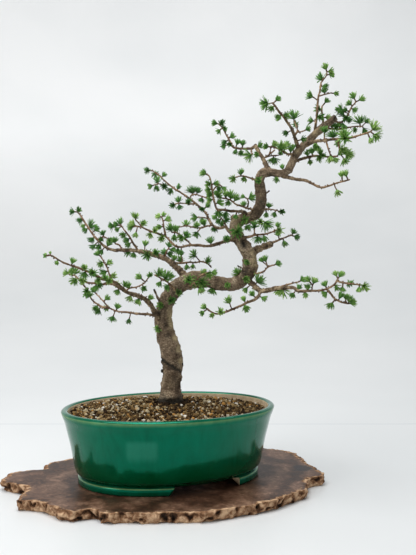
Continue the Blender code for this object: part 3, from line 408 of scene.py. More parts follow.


# Burl wood: warped rings, clouds and fibre added up as tone, dark eyes at cell centres;
# bark tone is ragged noise less the mesh's cavity as painted shade in the hollows, and takes over where edge
# is high.
def slabFinish():
    f = Finish("burlWood")
    edge, cavity = f.fact("edge"), f.fact("cavity")
    warp = f.cloud(7.0, 5.0, 0.6, 1.6)
    swirl = f.node("ShaderNodeTexWave", {"wave_type": "RINGS", "rings_direction": "Z"},
                   {"Vector": f.where, "Scale": 6.0, "Distortion": 14.0, "Detail": 5.0,
                    "Detail Scale": 1.4, "Detail Roughness": 0.65})
    fibre = f.cloud(260.0, 4.0, 0.6, 1.0)
    drift = f.node("ShaderNodeTexNoise", {}, {"Vector": f.where, "Scale": 18.0}, out="Color")
    eyes = f.cells(34.0, "F1", f.node("ShaderNodeVectorMath", {"operation": "ADD"}, {0: f.where, 1: drift}))
    curls = f.cloud(75.0, 5.0, 0.7, 2.2)
    tone = f.ramp(warp * 0.36 + swirl * 0.16 + fibre * 0.22 + curls * 0.42,
                  (0.43, (0.026, 0.011, 0.006)), (0.54, (0.068, 0.031, 0.017)),
                  (0.63, (0.130, 0.066, 0.040)), (0.76, (0.30, 0.175, 0.112)))
    eyed = f.blend((1.0 - eyes.between(0.02, 0.20)) * 0.4, tone, (0.035, 0.018, 0.013))
    knot = f.blend(f.fact("knot").between(0.1, 0.6) * 0.9, eyed, (0.012, 0.010, 0.012))
    lumps = f.cells(140.0)
    ragged = f.cloud(150.0, 5.0, 0.72, 0.5)
    # Painted shade: the bark darkens in its hollows by the cavity value.
    bark = f.ramp(ragged * 0.8 + lumps * 0.30 - cavity * 0.30 + 0.05, (0.30, (0.014, 0.007, 0.004)),
                  (0.44, (0.080, 0.037, 0.018)), (0.56, (0.27, 0.140, 0.072)), (0.73, (0.66, 0.44, 0.27)))
    rough = (edge + (ragged - 0.5) * 0.9).between(0.25, 0.55)
    return f.done(Base_Color=f.blend(rough, knot, bark), Roughness=0.40 + rough * 0.48 + fibre * 0.12,
                  Specular_IOR_Level=0.2, Coat_Weight=(1.0 - rough) * 0.06, Coat_Roughness=0.15,
                  Normal=f.bump(fibre * 0.25 + curls * 0.25 + (lumps + ragged) * rough, 0.0014, 0.5))


# Screens: fine noise picks between two near blacks.
def screenFinish():
    f = Finish("screenPlastic")
    haze = f.cloud(300.0, 3.0)
    return f.done(Base_Color=f.ramp(haze, (0.3, (0.02, 0.02, 0.02)), (0.7, (0.045, 0.045, 0.045))),
                  Roughness=0.45 + haze * 0.2)


# Floor and wall: pale tone by slow noise less a share of x, painted shade darker to the right;
# a soft dark line painted as shade where the floor meets the wall in the view, and a glow that grows with
# height.
def floorFinish():
    f = Finish("paleFloor")
    drift = f.cloud(1.2, 3.0)
    across, up = f.axis("X"), f.axis("Z")
    away = f.axis("Y") - studio["seam"]
    # Painted shade: a soft dark line where the floor meets the wall, standing in for the shade in that
    # crease.
    seam = (1.0 - (away * away).between(0.0, 0.00002)) * (1.0 - up.between(0.0, 0.01))
    # Painted shade: the tone falls to the right, as the light falls off away from the left.
    tone = f.ramp(drift - across * 0.12, (0.3, (0.69, 0.71, 0.715)), (0.7, (0.775, 0.785, 0.785)))
    lined = f.blend(seam * 0.30, tone, (0.42, 0.46, 0.50))
    glow = f.ramp(up.between(0.15, 1.5) * (1.15 - across * 0.35),
                  (0.0, (0.0, 0.0, 0.0)), (1.0, (1.0, 1.0, 1.0)))
    return f.done(Base_Color=lined, Roughness=0.42, Specular_IOR_Level=0.3,
                  Emission_Color=glow, Emission_Strength=0.30)


slab = {"thickness": 12.0, "steps": 34, "sideRows": 14, "topRows": 26, "undercut": 3.0, "barkDepth": 2.6,
        "lobe": 1.9, "smallLobe": 1.5, "cavity": 4.0, "setBack": 0.8, "footWave": 2.4, "rimDrop": 0.9,
        "reach": 160.0, "knotAt": (162.0, 33.0), "knotSize": 11.0}
slabOutline = (
    (184, 5), (180, 34), (171, 63), (160, 107), (125, 134), (80, 147), (20, 148),
    (-40, 135), (-95, 110), (-133, 80), (-151, 62), (-160, 42), (-157, 30), (-175, 26),
    (-193, 16), (-196, -8), (-191, -22), (-172, -33), (-160, -45), (-157, -75),
    (-157, -89), (-136, -94), (-122, -102), (-99, -120), (-71, -115), (-55, -125),
    (8, -126), (42, -123), (76, -110), (107, -95), (146, -58), (159, -37), (166, -9),
)


# The outline as a smooth closed curve, and the direction straight out of it at each step.
def slabCurve():
    points = np.array(slabOutline, float)
    a, b, c, d = (np.roll(points, shift, axis=0)[:, None] for shift in (1, 0, -1, -2))
    t = np.arange(slab["steps"])[None, :, None] / slab["steps"]
    outline = smoothSpan(a, b, c, d, t).reshape(-1, 2)
    ahead = np.roll(outline, -1, axis=0) - np.roll(outline, 1, axis=0)
    return outline, unit(np.stack([ahead[:, 1], -ahead[:, 0]], axis=1))


# Bark edge: rows up the outline, pushed out by lobes + bark noise, strongest half way up,
# and in by the undercut and the cavities. Its foot waves and its rim drops by noise.
def slabSide():
    outline, out = slabCurve()
    rise = np.linspace(0.0, 1.0, slab["sideRows"])[:, None]
    spots = np.stack(np.broadcast_arrays(outline[:, 0], outline[:, 1], rise * slab["thickness"]), axis=-1)
    bulge = np.sin(np.pi * np.clip(rise, 0.02, 1.0)) ** 0.5
    lobes = noise(spots * [1, 1, 0.25], 18.0, 35) * slab["lobe"]
    lobes = lobes + noise(spots * [1, 1, 0.4], 7.0, 38) * slab["smallLobe"]
    rough = layered(spots, 7.5, 21) * 0.9 + noise(spots, 2.8, 25) * 0.4
    cavity = bell(noise(spots * [1, 1, 0.7], 7.0, 36) - 0.45, 0.22)
    cavity = cavity * np.sin(np.pi * np.clip(rise, 0, 0.93)) ** 0.7
    push = lobes + rough * slab["barkDepth"] * (0.2 + 0.8 * bulge) - slab["undercut"] * (1.0 - rise) ** 2
    push = push - slab["cavity"] * cavity - slab["setBack"]
    side = np.concatenate([outline[None] + out[None] * push[..., None], spots[..., 2:]], axis=2)
    side[0, :, 2] = slab["footWave"] * np.maximum(noise(spots[0], 9.0, 34), 0.0)
    for row in (1, 2):
        side[row, :, 2] = np.maximum(side[row, :, 2], side[row - 1, :, 2] + 0.4)
    side[-1, :, 2] = slab["thickness"] - 0.3 - slab["rimDrop"] * np.abs(noise(spots[-1], 6.0, 27))
    return side, cavity


# Sawn top: the rim shrunk towards the middle, rounded over at the rim, nearly flat inside.
def slabTop(rim):
    shrink = (1.0 - np.linspace(0.0, 0.97, slab["topRows"])[1:] ** 1.3)[:, None, None]
    flat = rim[None] * shrink
    depth = (1.0 - shrink[..., 0]) * slab["reach"]
    wave = noise(np.concatenate([flat, np.zeros_like(flat[..., :1])], axis=2), 30.0, 29) * 0.12
    height = slab["thickness"] - 0.12 - 0.7 * bell(depth, 3.0) + wave * smoothStep(0.0, 20.0, depth)
    return np.concatenate([flat, height[..., None]], axis=2)


# Slab: side and top under one skin. The bark runs a ragged way in over the rim, and the
# knot is a bell of the distance from its middle with noise added.
def buildSlab(finish):
    side, cavity = slabSide()
    rows = np.concatenate([side, slabTop(side[-1, :, :2])])
    form = skin(rows, (0.0, 0.0, 0.0), (0.0, 0.0, slab["thickness"] - 0.1))
    rim = len(side)
    edge = np.zeros(rows.shape[:2])
    edge[:rim] = 1.0
    edge[rim - 1] = 0.75
    edge[rim] = 0.5 + 0.45 * noise(rows[rim], 8.0, 31)
    edge[rim + 1] = 0.25 + 0.35 * noise(rows[rim + 1], 10.0, 31)
    # The cavity value darkens the bark in its hollows as painted shade.
    hollow = np.zeros(rows.shape[:2])
    hollow[:rim] = np.clip(cavity, 0.0, 1.0)
    knotX, knotY = slab["knotAt"]
    far = np.hypot(rows[..., 0] - knotX, (rows[..., 1] - knotY) * 0.8 + 3 * noise(rows, 6.0, 33))
    shape = Shape()
    shape.add(form, edge=withPoles(edge, 1.0, 0.0), knot=withPoles(bell(far, slab["knotSize"]), 0.0, 0.0),
              cavity=withPoles(hollow, 0.5, 0.0))
    shape.piece("burlSlab", finish, "wood_slab", "slab_wood")


pot = {"halfLength": 127.0, "halfWidth": 95.0, "height": 84.0, "fullness": 2.06, "turn": math.radians(17.0),
       "base": 12.3, "sides": 300, "lip": 8.6, "floor": 16.0, "under": 8.5, "shoulder": 79.6,
       "shoulderRows": 8, "bareLipRows": 4, "reflectionX": (-46, -37, -12, -3), "reflectionZ": (45, 60, 70, 79),
       "footInset": 19.4, "footSteps": 150, "footTop": 8.2}

# Profiles as (inset, height): under the pot, up its outside and down its inside. A foot's
# inset is counted from footInset.
potUnder = ((60.0, 8.5), (34.0, 8.5), (26.4, 8.5))
potOuter = ((23.0, 9.2), (22.0, 10.8), (17.6, 13.8), (15.6, 19.0), (13.3, 31.0), (10.8, 44.0), (7.6, 57.0),
            (4.6, 69.0), (2.0, 76.0))
potInner = ((8.6, 79.0), (12.0, 70.0), (18.4, 45.0), (24.2, 24.0), (29.1, 16.0))
footProfile = ((9.0, 9.1), (8.2, 1.0), (7.6, 0.25), (6.6, 0.0), (1.6, 0.0), (0.6, 0.4), (0.0, 1.4),
               (0.0, 4.0), (0.0, 6.6), (0.5, 7.7), (1.6, 8.5), (4.0, 9.7))

# Where each foot starts and stops along the pot, going round from its right end over the
# back, each as (place at the ground, how far the cut moves up to the foot's top).
footCuts = {"left": ((-21.5, 3.5), (-19.0, 6.0)), "right": ((66.0, -8.5), (66.8, -0.8))}


# From the pot's own axes to the model's: turned about its middle and set on the slab.
def turnPot(x, y, height):
    cosTurn, sinTurn = math.cos(pot["turn"]), math.sin(pot["turn"])
    return np.stack(np.broadcast_arrays(x * cosTurn - y * sinTurn, x * sinTurn + y * cosTurn,
                                        pot["base"] + height), axis=-1)


# Pot outline: |x/a|^n + |y/b|^n = 1 with both half sizes less the inset, turned on the slab.
def potRows(inset, height, angle):
    power = 2.0 / pot["fullness"]
    x = (pot["halfLength"] - inset) * np.sign(np.cos(angle)) * np.abs(np.cos(angle)) ** power
    y = (pot["halfWidth"] - inset) * np.sign(np.sin(angle)) * np.abs(np.sin(angle)) ** power
    return turnPot(x, y, height)


# 1 inside a patch with fading edges: a rise from a to b times a fall from c to d.
def patch(value, a, b, c, d):
    return smoothStep(a, b, value) * smoothStep(d, c, value)


# The pot's body: its profiles swept round the outline, joined by half an oval as the lip.
# The glaze thins on the shoulder, is painted darker low down and pale on the front left as reflections, and
# stops just inside the lip.
def buildPot(finish):
    lip, sides = pot["lip"], pot["sides"]
    outer, inner = smoothRoute(potOuter, 1.3)[0], smoothRoute(potInner, 3.0)[0]
    turn = np.linspace(0.12, 0.93, 22) * np.pi
    lipArc = np.stack([lip / 2 * (1 - np.cos(turn)), pot["height"] - 4.0 + 4.0 * np.sin(turn)], axis=1)
    profile = np.vstack([potUnder, outer, lipArc, inner])
    rows = potRows(profile[:, :1], profile[:, 1:], turns(sides)[None])
    rows = rows + noise(rows, 55.0, 41)[..., None] * np.array([0.5, 0.5, 0.0])
    form = skin(rows, turnPot(0.0, 0.0, pot["under"]), turnPot(0.0, 0.0, pot["floor"]))
    lipStart = len(potUnder) + len(outer)
    lipEnd = lipStart + len(lipArc)
    order = np.arange(len(profile))
    outside = order < lipStart
    thin = bell(profile[:, 1] - pot["shoulder"], 2.3) * (order < lipStart + pot["shoulderRows"])
    bare = 1.0 * ((order >= lipEnd - pot["bareLipRows"]) | (order < len(potUnder) - 1))
    # The low value marks where the glaze is painted darker as a dark reflection.
    low = smoothStep(48.0, 16.0, profile[:, 1]) * outside
    x, y, z = np.moveaxis(rows, -1, 0)
    # The pale patch on the front left is a painted window reflection.
    haze = patch(x, *pot["reflectionX"]) * patch(z, *pot["reflectionZ"]) * (y < -60) * outside[:, None]
    shape = Shape()
    thin, bare, low = (np.repeat(value, sides) for value in (thin, bare, low))
    shape.add(form, thin=withPoles(thin, 0, 0), bare=withPoles(bare, 1, 1), low=withPoles(low, 0, 0),
              haze=withPoles(haze, 0, 0))
    for side in footCuts:
        addFoot(shape, side)
    shape.piece("glazedPot", finish, "pot", "glazed_pot")


# Each foot: a ring profile swept between the windows' edges, so its ends are flat cuts
# across the pot; every profile point finds the angle where the outline meets the cut. The
# right foot's first cut slants on the ring's inner side alone.
def addFoot(shape, side):
    profile = np.array(footProfile) + (pot["footInset"], 0.0)
    left = side == "left"
    height = profile[:, 1] / pot["footTop"]
    inner = profile[:, 0] > pot["footInset"] + 3.0
    (startAt, startMove), (stopAt, stopMove) = footCuts[side]
    cuts = (startAt + startMove * height * (inner | left), stopAt + stopMove * height)
    power = pot["fullness"] / 2.0
    start, stop = (np.arccos(np.sign(cut) * np.abs(cut / (pot["halfLength"] - profile[:, 0])) ** power)
                   for cut in cuts)
    start, stop = (start, 2 * np.pi - stop) if left else (-start, stop)
    angle = start[None] + (stop - start)[None] * np.linspace(0.0, 1.0, pot["footSteps"])[:, None]
    rows = potRows(profile[None, :, 0], profile[None, :, 1], angle)
    caps = [rows[k].mean(axis=0) + (rows[k] - rows[k].mean(axis=0)) * 0.93 for k in (0, -1)]
    rows = np.concatenate([caps[:1], rows, caps[1:]])
    thin = 0.62 * bell(profile[:, 1] - 7.6, 0.9) * (np.arange(len(profile)) > 6)
    bare = np.zeros(rows.shape[:2])
    bare[:, :5] = 1.0
    bare[[0, -1]] = 1.0
    shape.add(skin(rows, rows[0].mean(axis=0), rows[-1].mean(axis=0)),
              thin=withPoles(np.tile(thin, len(rows)), 0, 0), bare=withPoles(bare, 1, 1), low=0.15, haze=0.0)


soil = {"edge": 78.5, "centre": 87.0, "inset": 11.1, "bump": 1.0, "sides": 220, "rings": 46,
        "grainStep": 2.35, "smallest": 0.9, "largest": 2.5, "trunkRoom": 13.0, "seed": 63, "stones": 560,
        "pale": 0.84, "floor": 16.3, "top": 80.0}
soilWall = ((29.5, 16.3), (24.6, 24.0), (18.8, 45.0), (12.6, 69.0))


# Soil height: a mound round the trunk that falls to the right, with low waves.
def soilHeight(x, y):
    spread = np.hypot(x / (pot["halfLength"] - soil["inset"]), y / (pot["halfWidth"] - soil["inset"]))
    mound = (soil["centre"] - soil["edge"]) * np.cos(np.minimum(spread, 1.0) * np.pi / 2) ** 1.5
    waves = np.sin(0.31 * x + 0.9) * np.cos(0.27 * y) + np.sin(0.53 * y - 0.41 * x)
    return soil["edge"] + mound - 2.5 * x / pot["halfLength"] + soil["bump"] * 0.5 * waves


# Soil body: rings up the pot's inner wall, then rings across the mound to its middle.
def buildSoil(finish):
    angle = turns(soil["sides"])
    wall = np.array(soilWall)
    rows = [potRows(wall[:, :1], wall[:, 1:], angle[None])]
    spread = np.linspace(0.995, 0.05, soil["rings"])[:, None]
    x = spread * (pot["halfLength"] - soil["inset"]) * np.cos(angle)
    y = spread * (pot["halfWidth"] - soil["inset"]) * np.sin(angle)
    flat = np.stack([x, y, np.zeros_like(x)], axis=-1)
    rough = layered(flat, 4.5, 51) * 0.55 - 0.9
    rows.append(turnPot(x, y, soilHeight(x, y) + rough))
    shape = Shape()
    shape.add(skin(np.concatenate(rows), turnPot(0.0, 0.0, soil["floor"]), turnPot(0.0, 0.0, soil["top"])))
    shape.piece("dampSoil", finish, "soil", "soil")


# A rough pebble: the twelve corners of an icosahedron, and its faces turned outwards.
def pebbleForm():
    golden = (1 + math.sqrt(5)) / 2
    pairs = [(s, t * golden) for s in (-1, 1) for t in (-1, 1)]
    corners = np.array([(s, t, 0.0) for s, t in pairs] + [(0.0, s, t) for s, t in pairs]
                       + [(t, 0.0, s) for s, t in pairs])
    near = np.linalg.norm(corners[:, None] - corners[None], axis=-1) < 2.1
    tris = [(i, j, k) for i in range(12) for j in range(i + 1, 12) for k in range(j + 1, 12)
            if near[i, j] and near[j, k] and near[i, k]]
    outward = [np.dot(np.cross(corners[j] - corners[i], corners[k] - corners[i]), corners[i]) > 0
               for i, j, k in tris]
    return unit(corners), np.array([tri if out else tri[::-1] for tri, out in zip(tris, outward)])


# Random turns: random quaternions of length 1, written out as 3 x 3 matrices.
def randomTurns(draw, count):
    w, x, y, z = unit(draw.normal(size=(count, 4))).T
    cells = [1 - 2 * (y * y + z * z), 2 * (x * y - z * w), 2 * (x * z + y * w),
             2 * (x * y + z * w), 1 - 2 * (x * x + z * z), 2 * (y * z - x * w),
             2 * (x * z - y * w), 2 * (y * z + x * w), 1 - 2 * (x * x + y * y)]
    return np.stack(cells, axis=-1).reshape(count, 3, 3)


# Pebbles at the given spots: corners = turn x (form x jitter x three half sizes) + spot.
def addPebbles(shape, draw, spots, sizes, kind):
    form, tris = pebbleForm()
    count = len(spots)
    ragged = form[None] * draw.uniform(0.72, 1.12, (count, 12, 1))
    ragged = ragged * sizes[:, None, None] * draw.uniform(0.65, 1.15, (count, 1, 3))
    turned = np.einsum("nij,nkj->nki", randomTurns(draw, count), ragged)
    corners = (turned + spots[:, None]).reshape(-1, 3)
    faces = (tris[None] + 12 * np.arange(count)[:, None, None]).reshape(-1, 3)
    shape.add((corners, np.zeros((0, 4), int), faces), kind=np.repeat(kind, 12))


# Fine grains on a jittered grid, smaller ones far more often. Half of the palest draws and
# those close to the trunk are taken down to darker kinds.
def scatterGrains(shape, draw, halfX, halfY):
    step = soil["grainStep"]
    gridX, gridY = np.meshgrid(np.arange(-halfX, halfX, step), np.arange(-halfY, halfY, step * 0.87))
    x = (gridX + (np.arange(len(gridX)) % 2)[:, None] * step / 2).ravel()
    y = gridY.ravel()
    x = x + draw.uniform(-0.42, 0.42, len(x)) * step
    y = y + draw.uniform(-0.42, 0.42, len(y)) * step
    inside = (x / halfX) ** 2 + (y / halfY) ** 2 < 1.0
    inside &= np.hypot(x, y) > soil["trunkRoom"]
    x, y = x[inside], y[inside]
    sizes = soil["smallest"] + (soil["largest"] - soil["smallest"]) * draw.uniform(0, 1, len(x)) ** 2.6
    kind = draw.uniform(0.0, 0.999, len(x))
    kind = np.where((draw.uniform(0, 1, len(x)) < 0.5) & (kind > soil["pale"]), kind * 0.6, kind)
    sizes = np.where(kind > soil["pale"], sizes * 1.12, sizes)
    nearTrunk = bell(np.hypot(x, y * 1.15) - 17.0, 7.5) > draw.uniform(0.0, 1.0, len(x))
    kind = np.where(nearTrunk, kind * 0.28, kind)
    spots = turnPot(x, y, soilHeight(x, y) + draw.uniform(-0.6, 0.9, len(x)) + sizes * 0.2)
    addPebbles(shape, draw, spots, sizes, kind)


# Larger stones lie loose on top, pale ones gathered in patches by noise.
def scatterStones(shape, draw, halfX, halfY):
    count = soil["stones"]
    turn = draw.uniform(0, 2 * np.pi, count)
    away = np.sqrt(draw.uniform(0.04, 0.93, count))
    x, y = halfX * away * np.cos(turn), halfY * away * np.sin(turn)
    sizes = draw.uniform(1.7, 3.3, count)
    patches = noise(np.column_stack([x, y, y * 0]), 34.0, 65) + draw.normal(0, 0.4, count)
    kind = np.where(patches > 0.12, draw.uniform(0.60, 0.99, count), draw.uniform(0.2, 0.8, count))
    kind = np.where(np.hypot(x, y) < 27, kind * 0.4, kind)
    addPebbles(shape, draw, turnPot(x, y, soilHeight(x, y) + draw.uniform(0.0, 1.2, count)), sizes, kind)


# All loose grains and stones as one piece, kept a little inside the soil's edge.
def buildGrains(finish):
    draw = np.random.default_rng(soil["seed"])
    halves = [pot[side] - soil["inset"] - 1.2 for side in ("halfLength", "halfWidth")]
    shape = Shape()
    scatterGrains(shape, draw, *halves)
    scatterStones(shape, draw, *halves)
    shape.piece("soilGrains", finish, "soil", "soil", smooth=False)


# The trunk's centre line, as (x, z, depth, radius), from its foot in the soil up.
trunkLine = (
    (0, 60, 0, 11), (0, 82, 0, 13.8), (0, 92, 0, 14.5), (0.5, 104, 0, 13.5),
    (1, 118, 0, 12.3), (2.5, 133, 0, 12), (2.8, 147, 0, 12.3), (0, 160, 1, 12.2),
    (-3, 171, 2, 12), (-6, 182, 3, 11.5), (-8, 193, 3, 10.6), (-7, 205, 3, 9.6),
    (-5, 216, 3, 9.6), (1, 227, 2, 9.8), (10, 236, 0, 9.8), (20, 242, -2, 10.3),
    (31, 245, -4, 9.8), (42, 244, -6, 9), (52, 241, -8, 8.5), (62, 239, -9, 8.3),
    (73, 239, -10, 8), (82, 242, -10, 7.9), (89, 249, -9, 8), (94, 259, -7, 8.3),
    (95, 270, -4, 8.6), (90, 280, -1, 8.3), (84, 289, 2, 7.8), (79, 299, 4, 7.4),
    (78, 309, 6, 7), (84, 316, 8, 6.8), (93, 318, 9, 6.8), (101, 322, 9, 7),
    (106, 331, 7, 7), (108, 342, 5, 6.6), (107, 353, 3, 6.1), (106, 363, 1, 5.8),
    (110, 370, 0, 5.6), (119, 371.5, -2, 5.3), (129, 370, -3, 4.8), (137, 372, -4, 4.7),
    (143, 380, -4, 4.7), (148, 390, -3, 4.6), (154, 399, -1, 4.4), (163, 408, 1, 4.3),
    (173, 418, 3, 4.3), (184, 427, 5, 4.2), (196, 437, 7, 3.7),
)

# Stubs and knots on the trunk, each from a point inside it to its blunt end.
trunkStubs = (
    (2.0, 1.2, (-9, 210, 0), (-12, 218, -6), (-19, 233, -12)),
    (1.3, 0.9, (108, 342, 5), (112, 345, 5), (118, 350, 3)),
    (1.4, 0.9, (89, 249, -9), (88, 256, -14), (80, 261, -19)),
    (3.0, 2.2, (3, 146, 0), (14.8, 144, -3)),
    (3.2, 2.2, (2, 135, 0), (-9.8, 136, -2)),
    (5.2, 3.6, (84, 314, 7), (73.5, 319, 5)),
)

trunkTufts = (
    (10, 229), (22, 245), (36, 240, 1.3), (40, 253), (68, 238), (2, 220), (-11, 214),
    (-15, 186), (50, 231), (80, 253, 1.3), (91, 265), (90, 245), (80, 301, 1.3),
    (88, 315), (105, 362), (133, 378), (126, 364), (67, 293),
)

